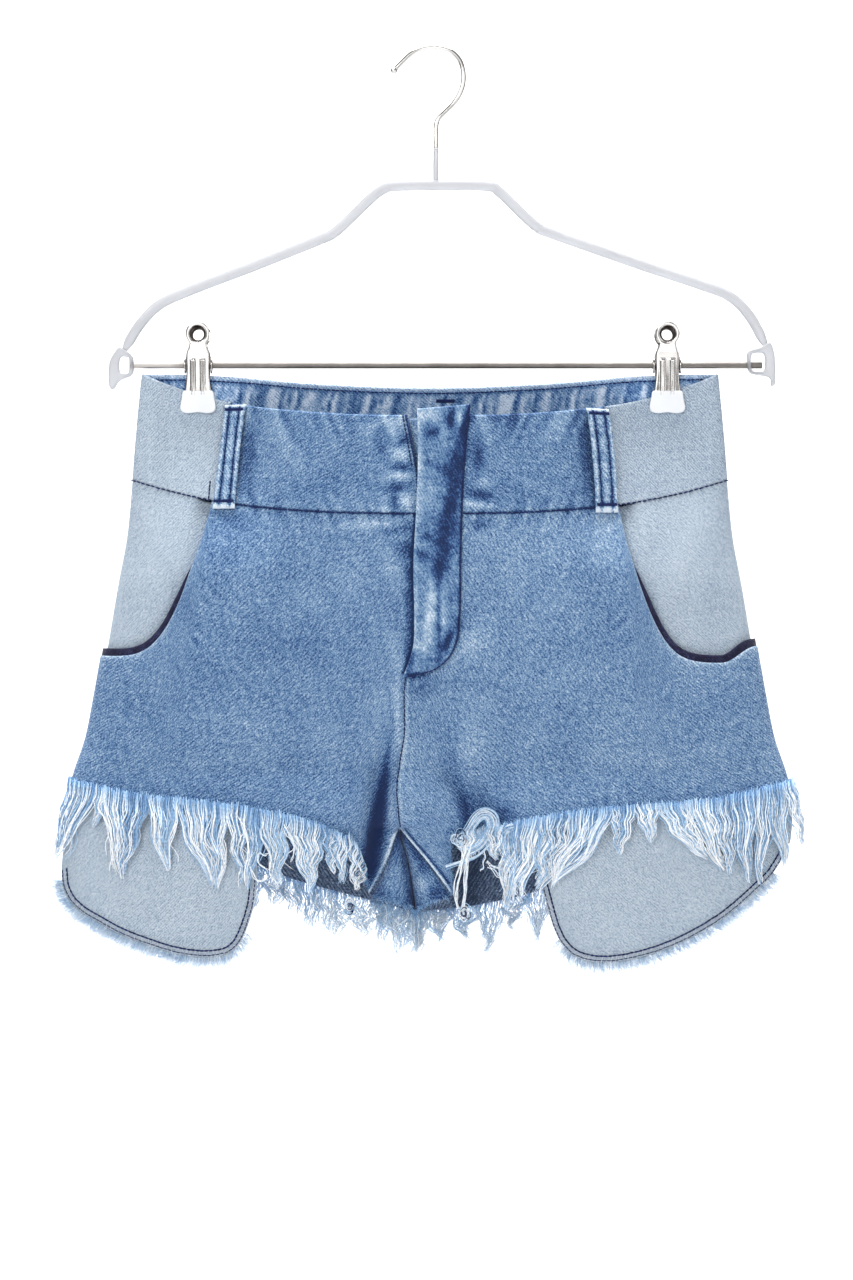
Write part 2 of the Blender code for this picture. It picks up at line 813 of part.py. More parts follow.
def make_belt_loop(where, material):
    back = where == "back"
    side = "left" if back else where
    x_top, x_foot = LOOP_SLANT[where]

    def face(across, depth, level):
        girth = girth_of(share_at(side, x_top, SIDE_RIM_Z), back)
        z_top = rim_z(side, girth) - 1.0
        z_foot = band_z(side, girth) - LOOP_PAST_BAND
        z = lerp(z_top, z_foot, depth)
        x = lerp(x_top, x_foot, depth) + LOOP_WIDTH * (across - 0.5)
        bowed = LOOP_BOW * math.sin(math.pi * depth) ** 0.5
        return moved_at_x(x, z, level + bowed, back)

    down = [0, 0.05, 0.12, 0.3, 0.5, 0.7, 0.88, 0.95, 1]
    wall(f"belt_loop_{where}", material, even(2), down, face, LOOP_CLOTH + LOOP_OUT, LOOP_CLOTH)


# ---- fringe ----


def strands(name, material, roots, place, seed, bends):
    """A narrow strip with tapered strands fused to its foot.

    roots is how many strands; place(share, level, out, reach) is a point beyond the cloth's edge,
    where level runs from 0 at the strip's top to 1 at its foot and on to 2 at a strand's tip. A bend
    is a level below the foot and the strand's half width there.
    """
    bm = bmesh.new()
    chance = random.Random(seed)
    rails = {}
    for level in (0, 1):
        for out in (0, 1):
            line = [bm.verts.new(place(i / roots, level, out, 0.0) * MM) for i in range(roots + 1)]
            rails[level, out] = line
    for i in range(roots):
        for a, b in (((0, 0), (1, 0)), ((0, 1), (1, 1)), ((0, 0), (0, 1))):
            bm.faces.new((rails[a][i], rails[a][i + 1], rails[b][i + 1], rails[b][i]))
        ring = [rails[1, 0][i], rails[1, 0][i + 1], rails[1, 1][i + 1], rails[1, 1][i]]
        centre = (i + 0.5) / roots
        reach = chance.uniform(0.0, 1.0)
        sway = SWAY * math.sin(SWAY_TURNS * centre + seed) + chance.uniform(-SWAY_ALONE, SWAY_ALONE)
        sway *= lerp(SHORTEST_SHARE, 1, reach) / roots
        for level, width in bends:
            ends = []
            for corner, out in ((-1, 0), (1, 0), (1, 1), (-1, 1)):
                share = centre + sway * level + corner * width / roots
                ends.append(bm.verts.new(place(share, 1 + level, out, reach) * MM))
            for a, b, c, d in zip(ring, ring[1:] + ring[:1], ends[1:] + ends[:1], ends):
                bm.faces.new((a, b, c, d))
            ring = ends
        bm.faces.new(ring)
    for i in (0, roots):
        bm.faces.new((rails[0, 0][i], rails[1, 0][i], rails[1, 1][i], rails[0, 1][i]))
    return finish(name, bm, material, smooth=False)


def make_hem_fringe(side, face, material, seed):
    if face == "front":
        start, end, girth_at, hem_z = FRONT_FRINGE_START[side], 179.0, front_girth, front_hem_z
    else:
        start, end, girth_at, hem_z = 181.0, 355.0, back_girth, back_hem_z
    shortest, longest = HEM_STRAND_LENGTH[face]

    def place(share, level, out, reach):
        column = lerp(start, end, share)
        edge = hem_of(side, column, girth_at, hem_z) - STRIP_GAP
        girth = girth_at(side, column, edge)
        drop = STRIP_HEIGHT * min(1, level) + lerp(shortest, longest, reach) * max(0, level - 1)
        lift = pocket_lift(side, share_of(girth), edge) if face == "front" else back_lift(girth, edge)
        flare = 1.8 * max(0, level - 1) * abs(math.sin(math.radians(girth)))
        return moved(side, girth, edge - drop, lift + flare - (1 - out) * DENIM)

    strands(f"fringe_{face}_{side}", material, HEM_STRANDS[face], place, seed, HEM_BENDS)


def make_bag_fringe(side, material, seed):
    """Short fringe that points straight out from the bag's curved foot."""
    first, last = BAG_GIRTH[side] + 6, 167.0

    def edge(share):
        girth = lerp(first, last, share)
        z = bag_foot_z(side, girth)
        return Vector((x_at(side, share_of(girth), z), 0, z))

    def place(share, level, out, reach):
        along_edge = edge(share + 0.01) - edge(share - 0.01)
        away = Vector((along_edge.z, 0, -along_edge.x)).normalized()
        away = away if away.z < 0 else -away
        length = lerp(*BAG_STRAND_LENGTH, reach) * max(0, level - 1)
        spot = edge(share) + away * (STRIP_GAP + 0.1 + BAG_STRIP * min(1, level) + length)
        at = share_at(side, spot.x, spot.z)
        lift = pocket_lift(side, at, spot.z) - DENIM - PLY_GAP
        return moved(side, girth_of(at), spot.z, lift - (1 - out) * BAG_CLOTH)

    strands(f"pocket_fringe_{side}", material, BAG_STRANDS, place, seed, BAG_BENDS)


# ---- the hanger ----


def smooth_line(points, per_span):
    """Points of a smooth curve through the given ones."""
    ends = [points[0]] + list(points) + [points[-1]]
    line = []
    for p0, p1, p2, p3 in zip(ends, ends[1:], ends[2:], ends[3:]):
        for i in range(per_span):
            t = i / per_span
            a, b = (p2 - p0) / 2, (p3 - p1) / 2
            line.append(p1 * (2 * t**3 - 3 * t**2 + 1) + a * (t**3 - 2 * t**2 + t)
                        + p2 * (3 * t**2 - 2 * t**3) + b * (t**3 - t**2))
    return line + [points[-1]]


def tube(name, material, points, radius, swell=None, sides=2):
    """A round wire along the points; swell(i) is a factor on its radius."""
    curve = bpy.data.curves.new(name, "CURVE")
    curve.dimensions = "3D"
    curve.bevel_depth = radius * MM
    curve.bevel_resolution = sides
    curve.use_fill_caps = True
    spline = curve.splines.new("POLY")
    spline.points.add(len(points) - 1)
    for i, (slot, point) in enumerate(zip(spline.points, points)):
        slot.co = (*(point * MM), 1)
        slot.radius = swell(i) if swell else 1.0
    made = bpy.data.objects.new(name, curve)
    made.data.materials.append(material)
    bpy.context.scene.collection.objects.link(made)
    return made


def make_hook(material):
    points = smooth_line([Vector((p.x, 0, p.z)) for p in HOOK_WIRE], 2)
    start = points[0] - points[1]
    bead = [points[0] + start.normalized() * d for d in (3.4, 2.9, 1.9, 0.8)]
    sizes = [0.45, 1.1, HOOK_BEAD_R / WIRE_R, 1.25]

    def swell(i):
        return sizes[i] if i < len(sizes) else 1.0

    tube("hanger_hook", material, bead + points, WIRE_R, swell)


def make_shoulders(material):
    points = smooth_line([Vector((p.x, 0, p.z)) for p in SHOULDERS], 2)
    tube("hanger_shoulders", material, points, SHOULDER_R)


def make_bar(material):
    tube("hanger_bar", material, [Vector((x, 0, BAR_Z)) for x in BAR_ENDS], BAR_R, sides=3)


def plate(name, material, outline, holes, place):
    """A flat plate between two faces; place(x, z, back) is a point of either face."""
    bm = bmesh.new()
    edges = []
    for loop in [outline] + holes:
        verts = [bm.verts.new((x, 0, z)) for x, z in loop]
        edges += [bm.edges.new((a, b)) for a, b in zip(verts, verts[1:] + verts[:1])]
    bmesh.ops.triangle_fill(bm, edges=edges, use_beauty=True)
    flat = {v: (v.co.x, v.co.z) for v in bm.verts}
    made = bmesh.ops.extrude_face_region(bm, geom=list(bm.faces))
    raised = {v for v in made["geom"] if isinstance(v, bmesh.types.BMVert)}
    for v in bm.verts:
        x, z = flat.get(v, (v.co.x, v.co.z))
        v.co = place(x, z, v in raised) * MM
    return finish(name, bm, material, smooth=False)


def circle(x, z, radius, start, end, count):
    turns = [math.radians(lerp(start, end, i / count)) for i in range(count + 1)]
    return [(x + radius * math.cos(turn), z + radius * math.sin(turn)) for turn in turns]


def make_hanger_end(side, material, cutter):
    x0, x1, z0, z1 = END_WINDOWS[side]
    r = WINDOW_CORNER
    window = circle(x0 + r, z0 + r, r, 180, 270, 2) + circle(x1 - r, z0 + r, r, 270, 360, 2)
    window += circle(x1 - r, z1 - r, r, 0, 90, 2) + circle(x0 + r, z1 - r, r, 90, 180, 2)

    def place(x, z, back):
        return Vector((x, END_PLATE_Y if back else -END_PLATE_Y, z))

    outline = [(p.x, p.z) for p in END_OUTLINES[side]]
    made = plate(f"hanger_end_{side}", material, outline, [window], place)
    cut = made.modifiers.new("bar hole", "BOOLEAN")
    cut.operation = "DIFFERENCE"
    cut.object = cutter


def make_bar_cutter():
    middle, length = sum(BAR_ENDS) / 2, BAR_ENDS[1] - BAR_ENDS[0]
    bpy.ops.mesh.primitive_cylinder_add(
        vertices=16, radius=(BAR_R + 0.3) * MM, depth=(length + 1.0) * MM,
        location=(middle * MM, 0, BAR_Z * MM), rotation=(0, math.pi / 2, 0))
    cutter = bpy.context.object
    cutter.name = "bar_cutter"
    cutter.hide_render = True
    cutter.display_type = "WIRE"
    return cutter


def make_clip_leaf(name, material, x, sign):
    """A leaf of the clip: a ring, a neck and a body."""
    turn = math.degrees(math.acos(CLIP_LEAF[1].half_width / CLIP_RING_R))
    outline = circle(0, CLIP_RING_Z, CLIP_RING_R, -turn, 180 + turn, 14)
    body = CLIP_LEAF[2:]
    outline += [(-row.half_width, row.z) for row in body]
    outline += [(row.half_width, row.z) for row in reversed(body)]
    hole = circle(0, CLIP_RING_Z, CLIP_HOLE_R, 0, 337.5, 15)

    def place(across, z, inside):
        out = along(CLIP_LEAF, "z", "out", z) + (0 if inside else CLIP_SHEET)
        return Vector((x + across, sign * out, z))

    plate(name, material, outline, [hole], place)


def make_clip_pad(name, material, x, sign):
    def place(across, z, inside):
        out = SEAM_GAP + GRIP_Y + 0.25 + (0 if inside else PAD_DEPTH)
        return Vector((x + across, sign * out, z))

    high = PAD_FOOT_Z + PAD_ROUND
    foot = circle(-PAD_HALF_FOOT + PAD_ROUND, high, PAD_ROUND, 180, 270, 4)
    foot += circle(PAD_HALF_FOOT - PAD_ROUND, high, PAD_ROUND, 270, 360, 4)
    plate(name, material, [(-PAD_HALF_TOP, PAD_TOP_Z)] + foot + [(PAD_HALF_TOP, PAD_TOP_Z)], [], place)


def make_clip_spring(name, material, x):
    """The spring round the bar, with an ear at each end that keeps the leaves together."""
    bore = BAR_R + BAR_CLEARANCE
    profile = (
        (-EAR_HALF, bore),
        (-EAR_HALF, EAR_R),
        (-EAR_HALF + 0.9, EAR_R),
        (-EAR_HALF + 0.9, SPRING_R),
        (EAR_HALF - 0.9, SPRING_R),
        (EAR_HALF - 0.9, EAR_R),
        (EAR_HALF, EAR_R),
        (EAR_HALF, bore),
    )
    bm = bmesh.new()
    rings = []
    for i in range(12):
        turn = math.radians(30 * i)
        rings.append([
            bm.verts.new(Vector((x + a, r * math.sin(turn), BAR_Z + r * math.cos(turn))) * MM)
            for a, r in profile
        ])
    for ring, after in zip(rings, rings[1:] + rings[:1]):
        for k in range(len(profile)):
            m = (k + 1) % len(profile)
            bm.faces.new((ring[k], ring[m], after[m], after[k]))
    finish(name, bm, material)


def make_clip(side, materials):
    x = CLIP_X[side]
    make_clip_spring(f"clip_{side}_spring", materials["chrome"], x)
    for face, sign in (("front", -1), ("rear", 1)):
        make_clip_leaf(f"clip_{side}_{face}", materials["chrome"], x, sign)
        make_clip_pad(f"clip_{side}_{face}_pad", materials["pad_rubber"], x, sign)


# ---- the whole ----


def main():
    clear_scene()
    materials = make_materials()
    make_waistband(materials)
    for number, side in enumerate(SIDES):
        make_front(side, materials["denim"])
        make_back(side, materials["denim"])
        make_pocket_back(side, materials["denim_reverse"])
        make_pocket_bag(side, materials["denim_reverse"])
        make_hem_fringe(side, "front", materials["yarn"], 11 + number)
        make_hem_fringe(side, "back", materials["yarn"], 21 + number)
        make_bag_fringe(side, materials["yarn"], 31 + number)
    make_fly(materials["denim"])
    for where in LOOP_SLANT:
        make_belt_loop(where, materials["denim"])
    make_hook(materials["chrome"])
    make_shoulders(materials["coated_wire"])
    make_bar(materials["chrome"])
    cutter = make_bar_cutter()
    for side in SIDES:
        make_hanger_end(side, materials["coated_wire"], cutter)
        make_clip(side, materials)


main()
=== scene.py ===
import math

import bpy
import numpy as np
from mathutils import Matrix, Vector


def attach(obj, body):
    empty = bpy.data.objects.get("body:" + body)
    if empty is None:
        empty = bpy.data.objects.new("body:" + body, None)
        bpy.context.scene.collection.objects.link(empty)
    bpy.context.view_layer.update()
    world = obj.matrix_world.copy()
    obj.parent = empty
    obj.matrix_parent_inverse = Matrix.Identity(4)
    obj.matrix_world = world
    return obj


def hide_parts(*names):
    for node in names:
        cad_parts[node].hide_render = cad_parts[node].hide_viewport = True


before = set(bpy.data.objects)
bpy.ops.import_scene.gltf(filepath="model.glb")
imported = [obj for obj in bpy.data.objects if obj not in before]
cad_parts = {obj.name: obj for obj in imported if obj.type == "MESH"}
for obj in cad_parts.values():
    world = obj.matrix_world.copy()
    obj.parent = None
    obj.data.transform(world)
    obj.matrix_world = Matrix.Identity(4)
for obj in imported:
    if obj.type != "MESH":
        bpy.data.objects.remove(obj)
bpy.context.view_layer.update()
print("frame loaded")

# Lengths are millimetres until a mesh is made. X is to the wearer's left, Y to the back, Z up.
# A side is -1 for the wearer's right and +1 for the left; pairs of values stand in that order.
# Girth runs round one half in degrees: 0 mid front, 180 the side seam, 360 mid back.
# A share is the way from the middle to the side seam, 0 to 1.
mm = 0.001
chance = np.random.default_rng(7)

# The form of the shorts

shorts = {
    "denim": 1.2, "bagCloth": 1.0, "band": 2.0, "plyGap": 0.65, "seamGap": -0.2,
    "middle": -3.7, "boxiness": 0.8, "crotchZ": -478.0, "frontForkZ": -443.0, "backForkZ": -412.0,
    "forkForward": 12.0, "sideRimZ": -199.5, "frontRimDrop": 27.0, "backRimDrop": 6.9,
    "sideBandZ": -264.8, "frontBandDrop": 21.5, "backBandDrop": 6.0, "dipPower": 2.8,
    "inseamShare": (0.125, 0.10), "inseamFootZ": -519.0, "inseamTurn": 0.65, "crotchTurn": 0.8,
    "scoopTopZ": -278.0, "scoopX": (-137.0, 111.3), "scoopDepth": (95.0, 99.0), "scoopTurn": (4.3, 6.6),
    "scoopTipRise": (0.0, 10.0), "bagPeek": 1.5, "bagSlack": 1.1, "liftRise": 42.0,
    "bagGirth": (82.5, 70.0), "clipX": (-146.0, 142.0), "gripHalf": 16.0, "gripFadeIn": 50.0,
    "gripFadeOut": 15.0, "gripKept": 0.55, "gripFullZ": -226.0, "gripEndZ": -335.0, "gripY": 2.0,
    "riseStart": 0.03, "riseReach": 0.20, "backRiseAbove": 8.0, "backRiseDown": 14.0, "backRiseGirth": 206.0,
    "backRiseReach": 24.0,
}
sideSeam = 180.01
spread = {  # how columns of cloth lean near the middle: the girths they lean from, and over what heights
    "frontFrom": 72.0, "backFrom": 300.0, "backTurn": 337.0, "backReach": 10.0, "flyGap": 4.0,
    "flyFootZ": -385.5, "flyBlend": 8.0, "crotchEdge": 0.5, "hemSearch": (-540.0, -430.0), "hemSteps": 20,
}
pocketLift = shorts["denim"] + shorts["bagCloth"] + 2 * shorts["plyGap"]
sections = np.array((  # height, half width, depth of the front, depth of the back
    (-190, 176.0, 25, 19), (-237, 180.5, 27, 22), (-265, 182.7, 28, 24), (-301, 186.3, 30, 27),
    (-326, 191.0, 31, 29), (-372, 198.8, 32, 31), (-400, 203.8, 31, 32), (-424, 208.6, 30, 32),
    (-449, 216.8, 28, 32), (-482, 222.6, 26, 32), (-530, 225.6, 23, 31), (-575, 219.0, 20, 29)), float)
middles = np.array((  # height, x of the middle seam
    (-190, -11.0), (-265, -10.5), (-309, -13.0), (-366, -13.5), (-388, -19.6), (-421, -20.3),
    (-437, -22.8), (-452, -24.6), (-464, -24.0), (-482, -21.5), (-498, -17.2), (-516, -14.1),
    (-532, -12.4), (-575, -12.0)))
folds = (  # side, top x and z, foot x and z, half width, depth
    (-1, -28.5, -405, -40, -515, 8.0, 11.5),
    (1, 2, -420, 30, -485, 11.0, 10.0))
frontHem = np.array((  # share of the way to the side, height on the right leg, on the left leg
    (0.100, -519, -520), (0.110, -519, -500), (0.125, -518, -484), (0.132, -500, -482),
    (0.140, -487, -481), (0.170, -482, -479.5), (0.250, -474.5, -476), (0.420, -466.5, -469),
    (0.600, -462, -465), (0.800, -457.8, -461), (1.000, -450, -451)))
backHem = np.array((  # the same columns
    (0.00, -530, -530), (0.16, -522, -527), (0.34, -512, -518), (0.50, -499, -503),
    (0.70, -480, -481), (0.85, -465, -465), (1.00, -450, -451)))
bagFoot = np.array((  # share of the bag's width, height on the right, on the left
    (0.00, -504, -508), (0.02, -520, -527), (0.05, -532, -541), (0.10, -545, -551.5),
    (0.15, -551.5, -556), (0.25, -555, -558.4), (0.40, -554, -554.7), (0.55, -549, -546),
    (0.70, -542, -532), (0.82, -534, -516.5), (0.90, -528, -505), (0.96, -520, -491),
    (0.99, -511, -480), (1.00, -503, -468)))

placket = np.array((  # height, folded edge, sewn edge
    (-221, -11.5, 20.9), (-253, -11.0, 17.8), (-283.5, -12.0, 16.2), (-316, -13.7, 15.4), (-347.5, -13.3, 14.8),
    (-366, -13.8, 12.3), (-376, -16.5, 6.2), (-382, -18.8, -3.0), (-385.5, -20.2, -16.0)))


def smooth(value):
    value = np.clip(value, 0.0, 1.0)
    return value * value * (3 - 2 * value)


def mix(start, end, share):
    return start + (end - start) * share


def along(table, column, at):
    # a smooth curve through a table's rows, which run either way
    keys, values = table[:, 0], table[:, column]
    if keys[0] > keys[-1]:
        keys, values = keys[::-1], values[::-1]
    step = np.diff(keys)
    slope = np.diff(values) / step
    start = (np.append(slope[0], slope[:-1]) + slope) / 2 * step
    end = (slope + np.append(slope[1:], slope[-1])) / 2 * step
    at = np.clip(at, keys[0], keys[-1])
    i = np.clip(np.searchsorted(keys, at, side="right") - 1, 0, len(step) - 1)
    t = (at - keys[i]) / step[i]
    return (values[i] * (2 * t**3 - 3 * t**2 + 1) + start[i] * (t**3 - 2 * t**2 + t)
            + values[i + 1] * (3 * t**2 - 2 * t**3) + end[i] * (t**3 - t**2))


def sided(name, side):
    right, left = shorts[name]
    return np.where(np.asarray(side) < 0, right, left)


def middleX(z):
    return along(middles, 1, z)


def halfSpan(side, z):
    return np.abs(shorts["middle"] + side * along(sections, 1, z) - middleX(z))


def shareOf(girth):
    return (1 - np.cos(np.radians(girth))) / 2


def girthOf(share, back=False):
    girth = np.degrees(np.arccos(1 - 2 * np.clip(share, 0, 1)))
    return 360 - girth if back else girth


def xAt(side, share, z):
    return middleX(z) + side * (shorts["seamGap"] + share * (halfSpan(side, z) - shorts["seamGap"]))


def shareAt(side, x, z):
    return (np.abs(x - middleX(z)) - shorts["seamGap"]) / (halfSpan(side, z) - shorts["seamGap"])


def gripAt(side, x, z):
    # 1 where a clip presses front and back together, less beside it and below
    away = (x - sided("clipX", side)) * side
    inner = smooth(1 - (-away - shorts["gripHalf"]) / shorts["gripFadeIn"])
    outer = mix(1.0, shorts["gripKept"], smooth((away - shorts["gripHalf"]) / shorts["gripFadeOut"]))
    across = np.where(np.abs(away) <= shorts["gripHalf"], 1.0, np.where(away < 0, inner, outer))
    return across * smooth((z - shorts["gripEndZ"]) / (shorts["gripFullZ"] - shorts["gripEndZ"]))


def foldAt(side, x, z):
    # how deep the folds from the fork push the front in
    pushed = np.zeros(np.broadcast(side, x, z).shape)
    for foldSide, xTop, zTop, xFoot, zFoot, halfWidth, depth in folds:
        down = (zTop - z) / (zTop - zFoot)
        reach = (x - mix(xTop, xFoot, down)) / halfWidth
        pushed += (np.asarray(side) == foldSide) * depth * smooth(down * 1.6) * np.exp(-reach * reach)
    return pushed


def form(side, girth, z):
    # a point of the outer face: girth is 0 mid front, 180 at the side, 360 mid back and then on
    girth = np.where(girth > 360, girth - 360, girth)
    front = girth <= 180
    share = shareOf(girth)
    forkZ = np.where(front, shorts["frontForkZ"], shorts["backForkZ"])
    fork = np.clip((forkZ - z) / (forkZ - shorts["crotchZ"]), 0, 1)
    cosine = (fork / 2 - share) / (1 - fork / 2)
    roundOut = np.sqrt(np.maximum(0, 1 - cosine * cosine)) ** shorts["boxiness"]
    x = xAt(side, share, z)
    full = np.where(front, along(sections, 2, z), along(sections, 3, z)) * roundOut
    gap, grip = shorts["seamGap"], shorts["gripY"]
    depth = np.minimum(gap + grip + (full - grip) * (1 - gripAt(side, x, z)), gap + full)
    forward = -shorts["forkForward"] * fork * (1 - share)
    y = np.where(front, forward - depth + foldAt(side, x, z), forward + depth)
    return np.stack(np.broadcast_arrays(x, y, z), -1)


def unit(vectors):
    return vectors / np.maximum(np.linalg.norm(vectors, axis=-1, keepdims=True), 1e-9)


def outward(side, girth, z):
    towards = np.where((girth < 90) | ((girth > 180) & (girth < 270)) | (girth > 360), 1.0, -1.0)
    across = (form(side, girth + towards, z) - form(side, girth, z)) * towards[..., None]
    up = form(side, girth, z + 0.5) - form(side, girth, z - 0.5)
    return unit(np.cross(across, up)) * np.asarray(side)[..., None]


def waistAcross(side, share, z):
    return np.minimum(1, np.abs(xAt(side, share, z) - shorts["middle"]) / along(sections, 1, z))


def dip(side, share, z):
    return 1 - waistAcross(side, share, z) ** shorts["dipPower"]


def rimZ(side, girth):
    share = shareOf(girth)
    front = shorts["frontRimDrop"] * dip(side, share, shorts["sideRimZ"])
    back = shorts["backRimDrop"] * smooth(1 - waistAcross(side, share, shorts["sideRimZ"]))
    return shorts["sideRimZ"] - np.where(girth <= 180, front, back)


def bandZ(side, girth):
    drop = np.where(girth <= 180, shorts["frontBandDrop"], shorts["backBandDrop"])
    return shorts["sideBandZ"] - drop * dip(side, shareOf(girth), shorts["sideBandZ"])


def scoopStart(side):
    return shareAt(side, sided("scoopX", side), shorts["scoopTopZ"])


def scoopZ(side, share):
    past = np.maximum(0, (share - scoopStart(side)) / (1 - scoopStart(side)))
    tip = sided("scoopTipRise", side) * smooth((past - 0.7) / 0.3)
    fall = 1 - np.maximum(0, 1 - past) ** sided("scoopTurn", side)
    return shorts["scoopTopZ"] - sided("scoopDepth", side) * fall + tip


def scoopShare(side, z):
    down = np.clip((shorts["scoopTopZ"] - z) / sided("scoopDepth", side), 0, 0.999)
    return mix(scoopStart(side), 1, 1 - (1 - down) ** (1 / sided("scoopTurn", side)))


def inseamTurn(z):
    return shorts["inseamTurn"] + shorts["crotchTurn"] * np.maximum(0, 1 - (shorts["crotchZ"] - z) / 12)


def inseamGirth(side, z):
    down = np.maximum(0, (shorts["crotchZ"] - z) / (shorts["crotchZ"] - shorts["inseamFootZ"]))
    return girthOf(sided("inseamShare", side) * down)


def frontGirth(side, column, z):
    split = inseamGirth(side, z) + inseamTurn(z)
    gap = spread["flyGap"] * smooth((z - spread["flyFootZ"]) / spread["flyBlend"])
    fly = girthOf(gap / halfSpan(side, z)) * (np.asarray(side) > 0)
    start = np.where(z < shorts["crotchZ"] + spread["crotchEdge"], split, fly)
    whole = shareOf(spread["frontFrom"])
    near = girthOf(mix(shareOf(start), whole, shareOf(column) / whole))
    return np.where(column < spread["frontFrom"], near, column)


def backGirth(side, column, z):
    first, turn = spread["backFrom"], spread["backTurn"]
    below = z < shorts["crotchZ"] + spread["crotchEdge"]
    end = np.where(below, 360 + inseamGirth(side, z) - inseamTurn(z), 360)
    inner = mix(turn, 360, smooth((shorts["crotchZ"] - z) / spread["backReach"]))
    near = mix(first, inner, (column - first) / (turn - first))
    far = mix(inner, end, (column - turn) / (360 - turn))
    return np.where(column <= first, np.maximum(column, sideSeam), np.where(column <= turn, near, far))


def byLeg(table, side, at):
    return np.where(np.asarray(side) < 0, along(table, 1, at), along(table, 2, at))


def frontHemZ(side, girth):
    return byLeg(frontHem, side, shareOf(girth))


def backHemZ(side, girth):
    past = np.clip((girth - 360) / inseamGirth(side, shorts["inseamFootZ"]), 0, 1)
    inner = mix(backHem[0, 1], shorts["inseamFootZ"], past)
    return np.where(girth <= 360, byLeg(backHem, side, shareOf(girth)), inner)


def hemOf(side, column, girthAt, hemZ):
    # the height where a leaning column meets the hem
    low, high = (np.full(np.shape(column), limit) for limit in spread["hemSearch"])
    for _ in range(spread["hemSteps"]):
        z = (low + high) / 2
        above = z > hemZ(side, girthAt(side, column, z))
        low, high = np.where(above, low, z), np.where(above, z, high)
    return high


def pocketRise(side, girth, z):
    # how far the front stands out over the pocket's two plies
    share = shareOf(girth)
    below = (bandZ(side, girthOf(share)) - z) / shorts["liftRise"]
    nearer = (share - shareOf(sided("bagGirth", side)) + shorts["riseStart"]) / shorts["riseReach"]
    return pocketLift * smooth(below) * smooth(nearer)


def backRise(girth, z):
    startZ = shorts["scoopTopZ"] - shorts["scoopDepth"][0] + shorts["backRiseAbove"]
    nearer = (shorts["backRiseGirth"] - girth) / shorts["backRiseReach"]
    return pocketLift * smooth((startZ - z) / shorts["backRiseDown"]) * smooth(nearer)


def bagFootZ(side, girth):
    start = shareOf(sided("bagGirth", side))
    return byLeg(bagFoot, side, (shareOf(girth) - start) / (1 - start))


def sideAt(x, z):
    return np.where(x > middleX(z), 1.0, -1.0)


def placeAtX(x, z, back=False):
    # side and girth of a point of the front or the back, by its x
    side = sideAt(x, z)
    return side, girthOf(shareAt(side, x, z), back)


def faceAt(side, girth, z):
    side = np.broadcast_to(np.asarray(side, float), np.shape(girth))
    return form(side, girth, z), outward(side, girth, z)


def runOf(points):
    # how far along a line each of its points lies
    return np.append(0, np.cumsum(np.linalg.norm(np.diff(points, axis=0), axis=1)))


print("form ready")

# Shader groups and materials


def srgb(red, green, blue):
    parts = [c / 255 for c in (red, green, blue)]
    return [c / 12.92 if c <= 0.04045 else ((c + 0.055) / 1.055) ** 2.4 for c in parts] + [1.0]


def node(tree, kind, inputs=None, **settings):
    made = tree.nodes.new(kind)
    for name, value in settings.items():
        setattr(made, name, value)
    for key, value in (inputs or {}).items():
        if isinstance(value, bpy.types.NodeSocket):
            tree.links.new(value, made.inputs[key])
        else:
            made.inputs[key].default_value = value
    return made


def calc(tree, operation, *values, clamp=False):
    made = node(tree, "ShaderNodeMath", dict(enumerate(values)), operation=operation)
    made.use_clamp = clamp
    return made.outputs[0]


def rescale(tree, value, low, high, newLow=0.0, newHigh=1.0):
    made = node(tree, "ShaderNodeMapRange", {0: value, 1: low, 2: high, 3: newLow, 4: newHigh})
    return made.outputs[0]


def ramp(tree, value, stops):
    made = node(tree, "ShaderNodeValToRGB", {0: value})
    elements = made.color_ramp.elements
    while len(elements) < len(stops):
        elements.new(0.5)
    for element, (position, colour) in zip(elements, stops):
        element.position = position
        element.color = srgb(*colour)
    return made.outputs[0]


def newGroup(name, inputs, outputs):
    group = bpy.data.node_groups.new(name, "ShaderNodeTree")
    for label, kind, value in inputs:
        socket = group.interface.new_socket(label, in_out="INPUT", socket_type=kind)
        if value is not None:
            socket.default_value = value
    for label in outputs:
        group.interface.new_socket(label, in_out="OUTPUT", socket_type=scalar)
    return group, group.nodes.new("NodeGroupInput").outputs, group.nodes.new("NodeGroupOutput").inputs


def place(tree, group, inputs):
    return node(tree, "ShaderNodeGroup", inputs, node_tree=group).outputs


def noise(tree, spot, scale, detail, rough=0.5, dimensions="2D"):
    given = {"Vector": spot, "Scale": scale, "Detail": detail, "Roughness": rough}
    return node(tree, "ShaderNodeTexNoise", given, noise_dimensions=dimensions).outputs[0]


scalar, vector = "NodeSocketFloat", "NodeSocketVector"
noiseRange = (0.3, 0.7)  # where noise values mostly lie


